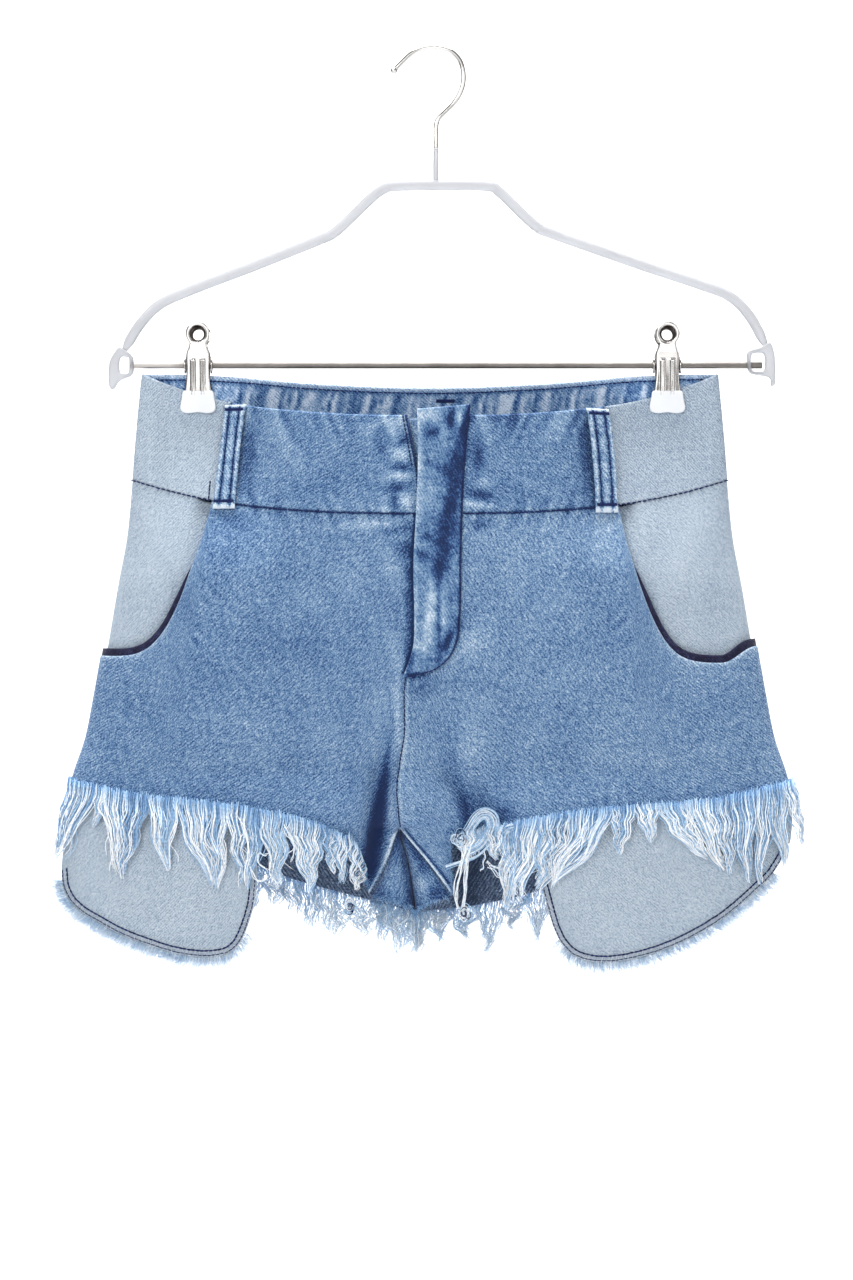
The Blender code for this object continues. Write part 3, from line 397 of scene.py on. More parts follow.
def makeTwill():
    # slanted yarn lines with slubs, and a fine speckle of the crossing yarns; UVs are in centimetres
    tree, given, out = newGroup(
        "twill",
        [("Place", vector, None), ("Slant", scalar, 0.7), ("Pitch", scalar, 0.07), ("Slub", scalar, 0.45)],
        ("Lines", "Speck", "Ribs", "Height"))
    turned = node(tree, "ShaderNodeVectorRotate", {"Vector": given["Place"], "Angle": given["Slant"]},
                  rotation_type="Z_AXIS").outputs[0]
    parts = node(tree, "ShaderNodeSeparateXYZ", {0: turned}).outputs
    across = calc(tree, "DIVIDE", parts[1], given["Pitch"])
    lengthwise = calc(tree, "DIVIDE", parts[0], given["Slub"])
    spot = node(tree, "ShaderNodeCombineXYZ", {0: lengthwise, 1: across}).outputs[0]
    slubs = noise(tree, spot, 1.0, 2.0, 0.6)
    wavy = calc(tree, "ADD", calc(tree, "MULTIPLY", across, 3.8), calc(tree, "MULTIPLY", slubs, 2.6))
    ribs = calc(tree, "ADD", calc(tree, "MULTIPLY", calc(tree, "SINE", wavy), 0.5), 0.5)
    fine = node(tree, "ShaderNodeVectorMath", {0: given["Place"], "Scale": 10.0}, operation="SCALE").outputs[0]
    specks = noise(tree, fine, 1.0, 3.0, 0.75)
    height = calc(tree, "ADD", calc(tree, "MULTIPLY", ribs, 0.6), calc(tree, "MULTIPLY", specks, 0.6))
    for label, value in (("Lines", slubs), ("Speck", specks)):
        tree.links.new(rescale(tree, value, *noiseRange), out[label])
    for label, value in (("Ribs", ribs), ("Height", height)):
        tree.links.new(value, out[label])
    return tree


def makeClouds():
    # uneven washing: broad clouds with smaller broken patches in them
    tree, given, out = newGroup(
        "washClouds", [("Place", vector, None), ("Size", scalar, 2.2), ("Stretch", scalar, 1.0)],
        ("Broad", "Patches"))
    stretch = node(tree, "ShaderNodeCombineXYZ", {0: given["Stretch"], 1: 1.0, 2: 1.0}).outputs[0]
    spot = node(tree, "ShaderNodeVectorMath", {0: given["Place"], 1: stretch}, operation="MULTIPLY").outputs[0]
    scaled = calc(tree, "DIVIDE", 1.0, given["Size"])
    closer = calc(tree, "MULTIPLY", scaled, 4.5)
    broad, patches = noise(tree, spot, scaled, 2.0), noise(tree, spot, closer, 3.0, 0.62)
    for label, value in (("Broad", broad), ("Patches", patches)):
        tree.links.new(rescale(tree, value, *noiseRange), out[label])
    return tree


def makeHandling():
    # soft smudges and hairlines that break up a gloss
    tree, given, out = newGroup(
        "handling", [("Place", vector, None), ("Scale", scalar, 60.0)], ("Smudge", "Hairline"))
    long = node(tree, "ShaderNodeMapping", {"Vector": given["Place"], "Scale": (40.0, 40.0, 900.0)}).outputs[0]
    smudge = noise(tree, given["Place"], given["Scale"], 3.0, dimensions="3D")
    tree.links.new(rescale(tree, smudge, 0.35, 0.7), out["Smudge"])
    tree.links.new(rescale(tree, noise(tree, long, 3.0, 2.0, dimensions="3D"), 0.4, 0.65), out["Hairline"])
    return tree


twill, washClouds, handling = makeTwill(), makeClouds(), makeHandling()


def newMaterial(name, **given):
    material = bpy.data.materials.new(name)
    material.use_nodes = True
    shader = material.node_tree.nodes["Principled BSDF"]
    for words, value in given.items():
        shader.inputs[shaderNames[words]].default_value = value
    return material, material.node_tree, shader


shaderNames = {"gloss": "Specular IOR Level", "sheen": "Sheen Weight", "sheenRough": "Sheen Roughness",
               "metal": "Metallic", "edge": "Specular Tint", "through": "Transmission Weight"}


def attribute(tree, name):
    return node(tree, "ShaderNodeAttribute", attribute_name=name).outputs["Fac"]


def dress(tree, shader, colour, rough, height=None, strength=0.3, distance=0.0002):
    tree.links.new(colour, shader.inputs["Base Color"])
    tree.links.new(rough, shader.inputs["Roughness"])
    if height is not None:
        relief = node(tree, "ShaderNodeBump", {"Height": height, "Strength": strength, "Distance": distance})
        tree.links.new(relief.outputs[0], shader.inputs["Normal"])


def clothMaterial(name, stops, slant, clouds=0.08, patches=0.10, lines=0.32, speck=0.62, ribs=0.08,
                  size=2.2, stretch=1.0, pitch=0.10, base=0.44):
    # stops are (position, colour) from the darkest dye to bare yarn
    material, tree, shader = newMaterial(name, gloss=0.08, sheen=0.12, sheenRough=0.5)
    spot = node(tree, "ShaderNodeUVMap", uv_map="weave").outputs[0]
    weave = place(tree, twill, {"Place": spot, "Slant": slant, "Pitch": pitch})
    wash = place(tree, washClouds, {"Place": spot, "Size": size, "Stretch": stretch})
    level = calc(tree, "ADD", base, attribute(tree, "tone"))
    for value, amount in ((wash["Broad"], clouds), (wash["Patches"], patches), (weave["Lines"], lines),
                          (weave["Speck"], speck), (weave["Ribs"], ribs)):
        level = calc(tree, "MULTIPLY_ADD", calc(tree, "SUBTRACT", value, 0.5), amount, level)
    dress(tree, shader, ramp(tree, level, stops), rescale(tree, wash["Patches"], 0, 1, 0.82, 0.96),
          weave["Height"], 0.4, 0.0003)
    return material


washes = {
    "blue": ((0.0, (28, 43, 79)), (0.22, (51, 80, 127)), (0.5, (100, 132, 166)), (0.75, (149, 171, 193)),
             (1.0, (204, 214, 224))),
    "reverse": ((0.0, (98, 114, 137)), (0.3, (144, 159, 176)), (0.55, (173, 186, 197)), (0.8, (194, 204, 211)),
                (1.0, (216, 221, 223))),
    # inside: the reverse's colours darkened as painted shade, for the cloth's back face inside the legs
    "inside": ((0.0, (44, 56, 78)), (0.4, (88, 104, 128)), (0.7, (130, 146, 167)), (1.0, (184, 194, 206))),
    "insideBlue": ((0.0, (25, 43, 86)), (0.22, (47, 79, 133)), (0.5, (97, 132, 173)), (0.75, (146, 171, 201)),
                   (1.0, (200, 213, 229))),
    # navy: the scoop facing's unfaded dye, darker still as painted shadow under the scoop
    "navy": ((0.0, (15, 16, 30)), (0.6, (34, 34, 60)), (1.0, (70, 76, 108))),
    "navyThread": ((0.0, (14, 24, 66)), (1.0, (40, 58, 112))),
    "paleThread": ((0.0, (158, 170, 192)), (1.0, (222, 228, 236))),
    "yarn": ((0.0, (66, 106, 158)), (0.25, (116, 157, 200)), (0.5, (164, 197, 226)), (0.75, (220, 233, 244)),
             (0.95, (250, 252, 254))),
}
materials = {
    "blueRight": clothMaterial("blueDenimRight", washes["blue"], 0.62),
    "blueLeft": clothMaterial("blueDenimLeft", washes["blue"], 0.72, base=0.475),
    "blueBack": clothMaterial("blueDenimBack", washes["blue"], 0.66),
    "fly": clothMaterial("blueDenimFly", washes["blue"], 1.1, clouds=0.22, patches=0.28, speck=0.22, lines=0.16,
                         ribs=0.10, size=0.9, base=0.40),
    "loop": clothMaterial("blueDenimLoop", washes["blue"], 0.9, clouds=0.15, patches=0.2, size=0.8, base=0.54),
    "bandInside": clothMaterial("blueDenimBandInside", washes["insideBlue"], 0.7, clouds=0.16, patches=0.26,
                                lines=0.26, speck=0.5, ribs=0.14, size=0.5, stretch=1.9, base=0.64),
    "reverse": clothMaterial("reverseDenim", washes["reverse"], 0.85, clouds=0.05, patches=0.05, lines=0.26,
                             speck=0.62, ribs=0.20, pitch=0.08, base=0.43),
    "bag": clothMaterial("bagDenim", washes["reverse"], 0.85, clouds=0.05, patches=0.06, lines=0.26, speck=0.66,
                         ribs=0.20, pitch=0.08, base=0.47),
    # the blue pieces' back faces, darker than the reverse as painted shade
    "inside": clothMaterial("shadedInsideDenim", washes["inside"], 0.8, clouds=0.1, patches=0.1, lines=0.4, ribs=0.26,
                            base=0.46),
    "navyEdge": clothMaterial("navyEdge", washes["navy"], 0.8, clouds=0.2, patches=0.3, lines=0.3, base=0.45),
}


def threadMaterial(name, stops, twist=2.2, sway=0.08, relief=0.3, rough=(0.6, 0.8), gloss=0.12, sheen=0.04):
    # plied thread or yarn: "ply" runs along it in turns and "tone" picks its dye
    material, tree, shader = newMaterial(name, gloss=gloss, sheen=sheen)
    turns = calc(tree, "SINE", calc(tree, "MULTIPLY", attribute(tree, "ply"), twist))
    level = calc(tree, "MULTIPLY_ADD", turns, sway, attribute(tree, "tone"))
    dress(tree, shader, ramp(tree, level, stops), rescale(tree, turns, -1, 1, *rough), turns, relief)
    return material


def steelMaterial(name, tint, rough, lit=None, edge=(150, 148, 146)):
    # lit is the colour where the "bright" attribute is 1, a painted highlight
    material, tree, shader = newMaterial(name, metal=1.0, edge=srgb(*edge))
    spot = node(tree, "ShaderNodeTexCoord").outputs["Object"]
    marks = place(tree, handling, {"Place": spot, "Scale": 90.0})
    level = calc(tree, "MULTIPLY_ADD", marks["Smudge"], 0.06, calc(tree, "MULTIPLY", marks["Hairline"], 0.04))
    colour = ramp(tree, marks["Smudge"], ((0.0, tint), (1.0, [part - 12 for part in tint])))
    if lit:
        colour = node(tree, "ShaderNodeMix", {0: attribute(tree, "bright"), 6: colour, 7: srgb(*lit)},
                      data_type="RGBA").outputs[2]
    dress(tree, shader, colour, calc(tree, "ADD", level, rough))
    return material


def plasticMaterial(name, tint, rough, worn, through=0.0):
    # milky plastic, painted a little greyer where it curves away from view: painted shade at its rims
    material, tree, shader = newMaterial(name, gloss=0.2, through=through)
    spot = node(tree, "ShaderNodeTexCoord").outputs["Object"]
    marks = place(tree, handling, {"Place": spot, "Scale": 45.0})
    facing = node(tree, "ShaderNodeLayerWeight", {"Blend": 0.35}).outputs["Facing"]
    shade = ramp(tree, facing, ((0.0, (255, 255, 255)), (0.45, (250, 250, 251)), (1.0, (196, 199, 204))))
    body = ramp(tree, marks["Smudge"], ((0.0, tint), (1.0, worn)))
    blend = node(tree, "ShaderNodeMix", {0: 1.0, 6: body, 7: shade}, data_type="RGBA", blend_type="MULTIPLY")
    dress(tree, shader, blend.outputs[2], calc(tree, "MULTIPLY_ADD", marks["Smudge"], 0.12, rough),
          marks["Hairline"], 0.05)
    return material


materials.update({
    "navyThread": threadMaterial("navyThread", washes["navyThread"]),
    "paleThread": threadMaterial("paleThread", washes["paleThread"]),
    "yarn": threadMaterial("looseYarn", washes["yarn"], 3.1, 0.05, 0.35, (0.78, 0.92), 0.1, 0.1),
    "steel": steelMaterial("polishedSteel", (212, 209, 206), 0.08),
    "barSteel": steelMaterial("drawnSteel", (128, 124, 120), 0.5, (236, 230, 224), (52, 50, 48)),
    # a shaded copy of the steel: painted shade on the clips' ring walls and curled edges
    "darkSteel": steelMaterial("shadedSteel", (96, 92, 90), 0.3),
    "coated": plasticMaterial("milkyCoating", (194, 195, 198), 0.6, (190, 191, 194), through=0.6),
    "pad": plasticMaterial("padRubber", (228, 230, 233), 0.42, (222, 224, 228)),
})
print("materials ready")

# Creases and wash marks, with painted shade and painted light

# Soft marks, listed: 1 for the front or -1 for the back, centre x and z, reach along and across,
# angle in degrees from level, tone (above 0 is paler) and how far the cloth stands out.
marks = np.array((
    # right front band, beside the fly; the mark at x -114 is painted shadow beside the belt loop
    (1, -23.5, -231, 6.5, 5.5, 60, 0.34, 0.5), (1, -20, -242.5, 4.5, 2, 35, -0.42, -0.4),
    (1, -22.5, -250.5, 6, 4.5, 0, 0.38, 0.5), (1, -20.5, -258.3, 4.5, 2.2, -10, -0.44, -0.4),
    (1, -22, -263.4, 6.5, 2.6, 0, 0.42, 0.5), (1, -24, -270.5, 7.5, 2.4, 5, -0.4, -0.4),
    (1, -18.5, -279, 4.5, 5, 0, 0.36, 0.4), (1, -25.2, -279, 1.8, 6, 0, -0.32, -0.3),
    (1, -31, -284, 5, 3, 10, 0.24, 0.2), (1, -33, -246, 3.5, 9, 20, -0.16, -0.2),
    (1, -37, -232, 10, 3, 35, 0.2, 0.3), (1, -96, -240, 26, 5, 128, 0.13, 0.3),
    (1, -60, -262, 20, 9, 30, -0.07, 0), (1, -114, -246, 4.5, 26, -6, -0.26, -0.2),
    # right front below the band; the mark at x -15.5 is painted shade beside the fly
    (1, -122, -290, 12, 5, -20, -0.2, -0.3), (1, -40, -293, 22, 3, 4, 0.2, 0.4),
    (1, -22, -296, 11, 2.5, 8, -0.24, -0.4), (1, -18, -308, 5, 5, 80, -0.36, -0.5),
    (1, -15.5, -350, 2.2, 44, 0, -0.16, -0.3), (1, -27, -318, 5, 12, 20, 0.1, 0.2),
    (1, -24, -372, 5, 20, 12, 0.1, 0.4), (1, -124, -312, 5, 4, 0, -0.14, 0),
    (1, -76, -364, 30, 18, 30, -0.05, 0), (1, -60, -330, 40, 20, 30, 0.05, 0),
    (1, -34, -400, 7, 26, -8, 0.08, 0.4), (1, -100, -420, 60, 16, 10, 0.05, 0.2),
    # fly
    (1, -4, -226, 8, 4.5, 0, 0.32, 0.2), (1, 8.7, -228, 2.2, 7, -8, -0.46, -0.4),
    (1, -2, -238, 5, 2.6, 25, -0.34, -0.2), (1, 4.5, -241, 2.6, 6, 10, 0.2, 0.2),
    (1, 14.2, -229, 1.5, 6.5, -8, 0.34, 0.2), (1, -1, -250, 3.5, 2.6, 0, 0.2, 0.2),
    (1, -6, -256, 3.5, 3, 0, -0.24, -0.2), (1, 6, -259, 7, 4.5, -20, -0.2, -0.2),
    (1, 18, -232, 2.4, 8, -12, -0.42, -0.3), (1, 14, -250, 4.5, 18, -12, -0.36, -0.4),
    (1, 9, -278, 4.5, 16, -14, -0.38, -0.5), (1, 5.5, -303, 5, 14, -14, -0.4, -0.6),
    (1, 2, -320, 4, 9, -8, -0.3, -0.3), (1, -9.2, -262, 2, 30, 0, 0.24, 0.3),
    (1, -2, -275, 6, 6, 0, 0.12, 0.1), (1, -5, -301, 6, 3, 30, -0.22, -0.4),
    (1, -9, -306, 4, 3, 0, 0.14, 0.3), (1, -7.5, -313, 3.5, 4, 0, -0.24, -0.3),
    (1, -3.8, -347, 3.8, 19, -2, 0.44, 0.5), (1, -7.4, -367, 3, 10, -16, 0.2, 0.3),
    (1, 1.6, -350, 1.3, 22, 0, -0.34, -0.4), (1, 4.5, -347, 2.4, 17, 0, 0.22, 0.3),
    (1, 8, -362, 3, 12, -32, -0.44, -0.3), (1, -12, -384.2, 7, 1.4, 0, -0.5, -0.2),
    (1, 11.5, -356, 2, 16, -12, 0.16, 0.2), (1, -11.8, -345, 1.2, 40, 0, 0.16, 0.2),
    # deep folds from the fork down to the hem, with painted shade in their valleys, and painted shade beside
    # the fly
    (1, -30, -440, 2.6, 18, -8, -0.28, 0), (1, -34, -462, 4.2, 20, -10, -0.58, 0),
    (1, -37.5, -484, 5.4, 18, -9, -0.6, 0), (1, -40, -502, 6, 12, -5, -0.45, 0),
    (1, -43.5, -476, 2, 26, -12, 0.1, 0.2), (1, -27, -470, 2.4, 26, -6, 0.08, 0.2),
    (1, 10, -440, 5.5, 24, 11, -0.16, 0), (1, 17.5, -466, 4.2, 14, 11, -0.42, 0),
    (1, 41, -468, 6, 6, 0, -0.36, 0), (1, 28, -462, 8, 8, 0, -0.22, 0),
    (1, -16.8, -336, 2.4, 5, 0, -0.22, -0.3), (1, -16.6, -322, 2.8, 5, 10, -0.26, -0.3),
    (1, -16.8, -350, 1.8, 8, 0, -0.16, 0), (1, -17.2, -374, 2.2, 10, 0, -0.3, -0.3),
    (1, -22, -414, 2.2, 28, 6, 0.1, 0.3),
    # left front band, beside the fly; the mark at x 91 is painted shadow beside the belt loop
    (1, 23.2, -228, 1.4, 5, 0, -0.34, -0.3), (1, 29, -233, 3.5, 9, 20, 0.28, 0.3),
    (1, 43, -228, 8, 5, -10, -0.16, -0.2), (1, 25.5, -253, 4.2, 8, 6, -0.34, -0.2),
    (1, 29, -267.5, 4, 3.5, 0, 0.22, 0.3), (1, 27, -275, 7.5, 3, -14, -0.46, -0.5),
    (1, 23.5, -280.8, 8, 1.7, -6, 0.44, 0.5), (1, 27, -293, 9, 3, 0, -0.26, -0.4),
    (1, 91, -246, 4, 28, 5, -0.3, -0.2), (1, 60, -270, 16, 3, -30, 0.12, 0.2),
    (1, 66, -240, 18, 9, 20, 0.05, 0),
    # left front below the band
    (1, 22, -366, 8, 12, -30, 0.16, 0.2), (1, 104, -300, 8, 16, -10, 0.12, 0.2),
    (1, 60, -310, 44, 24, -30, 0.05, 0), (1, 110, -340, 30, 16, -40, -0.06, 0),
    (1, -8, -392, 8, 6, 10, -0.14, -0.3), (1, 20, -430, 8, 30, -14, 0.1, 0.6),
    (1, 60, -432, 34, 10, 8, -0.04, 0), (1, -15, -452, 3, 30, 0, 0.06, 0.2),
    (1, 120, -430, 50, 12, -6, 0.05, 0.2),
    # side panels, very soft
    (1, -176, -300, 8, 34, 8, 0.05, 0.5), (1, -160, -330, 6, 30, 30, -0.05, -0.4),
    (1, 150, -310, 6, 36, -18, 0.05, 0.5), (1, 170, -340, 8, 30, 0, -0.06, -0.4),
    (1, 134, -300, 5, 26, -10, -0.05, -0.3),
    # inner thigh between the legs: painted shade down its valley, painted light at x -28 and -4 on the shaded
    # gusset
    (-1, -18, -504, 2.4, 20, 10, -0.5, 0), (-1, -14.5, -522, 3, 10, 10, -0.3, 0),
    (-1, -28, -507, 6.5, 16, -12, 0.4, 0), (-1, -4, -510, 9, 10, 30, 0.34, 0),
    (-1, -2, -516, 4, 3, 30, -0.3, 0), (-1, -10, -504, 2.5, 3, 0, -0.2, 0),
    # seat: drag lines from the middle seam and the side seams, and a softly worn seat
    (-1, -60, -360, 46, 30, 12, 0.14, 0), (-1, 60, -356, 46, 30, -12, 0.14, 0),
    (-1, -24, -372, 7, 34, -30, -0.16, -1.2), (-1, 20, -380, 7, 34, 30, -0.16, -1.2),
    (-1, -120, -330, 6, 44, -24, -0.08, -1), (-1, 124, -326, 6, 44, 24, -0.08, -1),
    (-1, -70, -452, 60, 5, 8, -0.08, -0.8), (-1, 74, -448, 60, 5, -8, -0.08, -0.8),
    (-1, -30, -430, 30, 6, 40, 0.12, 0.8), (-1, 36, -426, 30, 6, -40, 0.12, 0.8),
    (-1, -150, -400, 40, 6, -12, 0.08, 0.7), (-1, 150, -404, 40, 6, 12, 0.08, 0.7),
), float)


def wave(at, period, seed):
    # an uneven ripple between -1 and 1
    turn = 2 * math.pi * at / period
    bent = turn + 1.9 * np.sin(0.31 * turn + seed) + 0.8 * np.sin(0.83 * turn + 2 * seed)
    return 0.62 * np.sin(bent) + 0.38 * np.sin(0.57 * bent + 1.3 * seed)


def fade(distance, reach):
    return np.exp(-(distance / reach) ** 2)


def creasesAt(points, front):
    # tone and stand-out of the listed marks at points of one face
    shown = np.where(front, 1.0, -1.0)
    tone, out = np.zeros(front.shape), np.zeros(front.shape)
    for face, x, z, length, width, angle, paler, lift in marks:
        turn = math.radians(angle)
        dx, dz = points[..., 0] - x, points[..., 2] - z
        lengthwise = dx * math.cos(turn) + dz * math.sin(turn)
        across = dz * math.cos(turn) - dx * math.sin(turn)
        weight = np.exp(-(lengthwise / length) ** 2 - (across / width) ** 2) * (shown == face)
        tone += weight * paler
        out += weight * lift
    return tone, out


puckers = {"seamPeriod": 10.0, "seamReach": 9.0, "seamTone": 0.17, "seamOut": 0.32, "rimPeriod": 12.5,
           "rimReach": 17.0, "rimTone": 0.2, "rimOut": 0.3, "slant": 0.35, "paleTone": 0.22,
           "paleOut": 0.4}


def puckersAt(side, girth, points):
    # gathers of the cloth where it is sewn to the band and folded over at the rim
    x, z = points[..., 0], points[..., 2]
    seam = z - bandZ(side, girth)
    rim = rimZ(side, girth) - z
    lean = np.where(x > 0, -1, 1) * puckers["slant"]
    behind = girth > 180
    atSeam = wave(x + lean * seam, puckers["seamPeriod"], 1.0 + 2 * behind) * fade(seam, puckers["seamReach"])
    atRim = wave(x - lean * rim * 1.4, puckers["rimPeriod"], 4.0 + behind) * fade(rim, puckers["rimReach"])
    atRim = atRim * (rim > -1)
    blue = (np.abs(x + 12) < 118) | behind
    tone = atSeam * puckers["seamTone"] + atRim * puckers["rimTone"]
    tone = tone * np.where(blue, 1.0, puckers["paleTone"])
    # a painted shade line along the seam where the band meets the panel
    tone -= fade(seam, 0.9) * np.where(blue, 0.38, 0.05)
    out = (atSeam * puckers["seamOut"] + atRim * puckers["rimOut"]) * np.where(blue, 1.0, puckers["paleOut"])
    return tone, out


def dressed(side, girth, z):
    # the outer face with all its marks and puckers: points, normals, tone and stand-out
    points, normals = faceAt(side, girth, z)
    tone, out = creasesAt(points, girth <= 180)
    gathered, raised = puckersAt(side, girth, points)
    return points, normals, tone + gathered, out + raised


# Meshes

cuts = {"frontStep": 2.45, "backStep": 3.0, "bandStep": 2.2, "bagStep": 3.1, "seam": 6.0, "leastArea": 0.3,
        "firstRow": 1.8, "clear": 1.5, "lineSteps": 900, "loopStep": 1.1}
edgeSteps = np.array((0.0, 0.3, 0.7, 1.2))
edgeRound = np.array((0.22, 0.64, 0.9, 0.99))


def newPiece(name, points, faces, used, values=None, weave=None, index=None):
    mesh = bpy.data.meshes.new(name)
    faces = faces if isinstance(faces, list) else faces.tolist()
    mesh.from_pydata((np.asarray(points) * mm).tolist(), [], faces)
    for material in used:
        mesh.materials.append(materials[material])
    if index is not None:
        mesh.polygons.foreach_set("material_index", np.asarray(index, np.int32))
    for label, value in (values or {}).items():
        data = mesh.attributes.new(label, "FLOAT", "POINT")
        data.data.foreach_set("value", np.asarray(value, np.float32).ravel())
    if weave is not None:
        corners = np.zeros(len(mesh.loops), np.int32)
        mesh.loops.foreach_get("vertex_index", corners)
        layer = mesh.uv_layers.new(name="weave")
        layer.data.foreach_set("uv", np.asarray(weave, np.float32)[corners].ravel())
    mesh.polygons.foreach_set("use_smooth", np.ones(len(mesh.polygons), bool))
    mesh.update()
    made = bpy.data.objects.new(name, mesh)
    bpy.context.scene.collection.objects.link(made)
    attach(made, "root")
    return made


def gridFaces(rows, columns, first=0, flip=False):
    index = first + np.arange(rows * columns).reshape(rows, columns)
    quads = np.stack((index[:-1, :-1], index[:-1, 1:], index[1:, 1:], index[1:, :-1]), -1).reshape(-1, 4)
    return quads[:, ::-1] if flip else quads


def rounding(rows, columns, open):
    # 1 inside and less at the edges; open names edges that stay square
    def one(count, start, end):
        level = np.ones(count)
        if start:
            level[:4] = edgeRound
        if end:
            level[-4:] = np.minimum(level[-4:], edgeRound[::-1])
        return level
    across = one(columns, "first" not in open, "last" not in open)
    down = one(rows, "top" not in open, "foot" not in open)
    return np.minimum(down[:, None], across[None, :])


def wallFrom(name, points, normals, lift, thickness, used, slot, tone, weave, open=(), backTone=None):
    # a cloth wall of two layers joined at the rim; used is (outer, inner) materials
    rows, columns = points.shape[:2]
    soft = rounding(rows, columns, open)[..., None]
    lift = np.broadcast_to(lift, (rows, columns))[..., None]
    outer = points + normals * (lift - thickness / 2 * (1 - soft))
    inner = points + normals * (lift - thickness / 2 * (1 + soft))
    middle = (rows // 2, columns // 2)
    downwards = outer[middle[0] + 1, middle[1]] - outer[middle]
    across = outer[middle[0], middle[1] + 1] - outer[middle]
    flip = np.dot(np.cross(across, downwards), normals[middle]) < 0
    count = rows * columns
    faces = np.concatenate((gridFaces(rows, columns, 0, flip), gridFaces(rows, columns, count, not flip)))
    index = np.arange(count).reshape(rows, columns)
    loop = np.concatenate((index[0], index[1:, -1], index[-1, -2::-1], index[-2:0:-1, 0]))
    after = np.roll(loop, -1)
    edge = np.stack((loop, loop + count, after + count, after), -1)
    edge = edge[:, ::-1] if flip else edge
    tones = np.concatenate((tone.ravel(), (tone if backTone is None else backTone).ravel()))
    places = np.concatenate((weave.reshape(-1, 2), weave.reshape(-1, 2) + 3.7))
    which = np.repeat((0, 1, 0), (len(faces) // 2, len(faces) // 2, len(edge)))
    return newPiece(name, np.concatenate((outer.reshape(-1, 3), inner.reshape(-1, 3))),
                    np.concatenate((faces, edge)), used, {"tone": tones}, places, which)


def spacing(total, step, fine=()):
    # distances from 0 to total with close rows at both ends and finer ones where asked
    first, clear = cuts["firstRow"], cuts["clear"]
    inside = list(np.linspace(first, total - first, max(3, int(round(total / step)))))
    for start, end, close in fine:
        inside = [d for d in inside if not start - close < d < end + close]
        inside += list(np.arange(start, end, close))
    inside = [d for d in sorted(inside) if clear < d < total - clear]
    return np.concatenate((edgeSteps, inside, total - edgeSteps[::-1]))


def arcGirths(side, start, end, step, z=-350.0, fine=()):
    # girths a step of cloth apart, and how far along the cloth each lies
    dense = np.linspace(start, end, cuts["lineSteps"])
    run = runOf(form(float(side), dense, np.full(len(dense), float(z))))
    places = [(np.interp(a, dense, run), np.interp(b, dense, run), close) for a, b, close in fine]
    distance = spacing(run[-1], step, places)
    return np.interp(distance, run, dense), distance


def rowsDown(height, step):
    # distances below the top of each column, a shared count of them
    count = max(3, int(round(height.max() / step)))
    inside = np.linspace(0, 1, count)[:, None] * (height - 2 * cuts["firstRow"]) + cuts["firstRow"]
    return np.concatenate((edgeSteps[:, None] + 0 * height, inside, height - edgeSteps[::-1, None]))


def weaveOf(points, girth):
    # where the yarns run: cloth along each row from the side seam, and the height
    steps = np.linalg.norm(np.diff(points, axis=1), axis=-1)
    along = np.concatenate((np.zeros((len(points), 1)), np.cumsum(steps, axis=1)), axis=1)
    along = along - along[:, [int(np.abs(girth[0] - 180).argmin())]]
    return weaveFrom(along, points[..., 2])


def weaveFrom(along, z):
    return np.stack((np.broadcast_to(along, z.shape), z), -1) / 10.0


def clothPiece(name, node, side, girth, z, lift, thickness, used, slot, run, extraTone, backTone=None):
    points, normals, tone, out = dressed(side, girth, z)
    points = points + normals * out[..., None]
    made = wallFrom(name, points, normals, lift, thickness, used, slot, tone + extraTone,
                    weaveOf(points, girth), backTone=backTone)
    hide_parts(node)
    diagonals = points[1:, 1:] - points[:-1, :-1], points[1:, :-1] - points[:-1, 1:]
    area = np.linalg.norm(np.cross(*diagonals), axis=-1).sum() / 2
    width = run[-1] + 2 * cuts["seam"]
    length = (z[0] - z[-1]).max() + 2 * cuts["seam"]
    area = np.clip(area + cuts["seam"] * (width + length), cuts["leastArea"] * width * length, width * length)


print("cloth builders ready")

# The panels


panels = {  # where tones of the panels start or end, in height
    "columns": (0.0, 2.5, 4.2, 5.7, 7.0, 8.2, 9.3, 10.4, 11.4, 12.4, 13.4, 14.6, 16.0), "columnsEnd": 17,
    "seamTopZ": -386, "seamFootZ": -474, "flyEndZ": -384, "partZ": -479, "seatEndZ": -440, "shadeZ": -455,
    "backTop": 0.15, "backArcZ": -400,
}


def sideName(side):
    return "right" if side < 0 else "left"


def blueOf(side):
    # the back face takes the inside cloth, darkened as painted shade
    return ["blueRight" if side < 0 else "blueLeft", "inside"]


def hemTone(above):
    # paler at the raw edge, with a band of painted shade over it
    return -0.10 * fade(above, 6) + 0.10 * fade(above, 1.2)


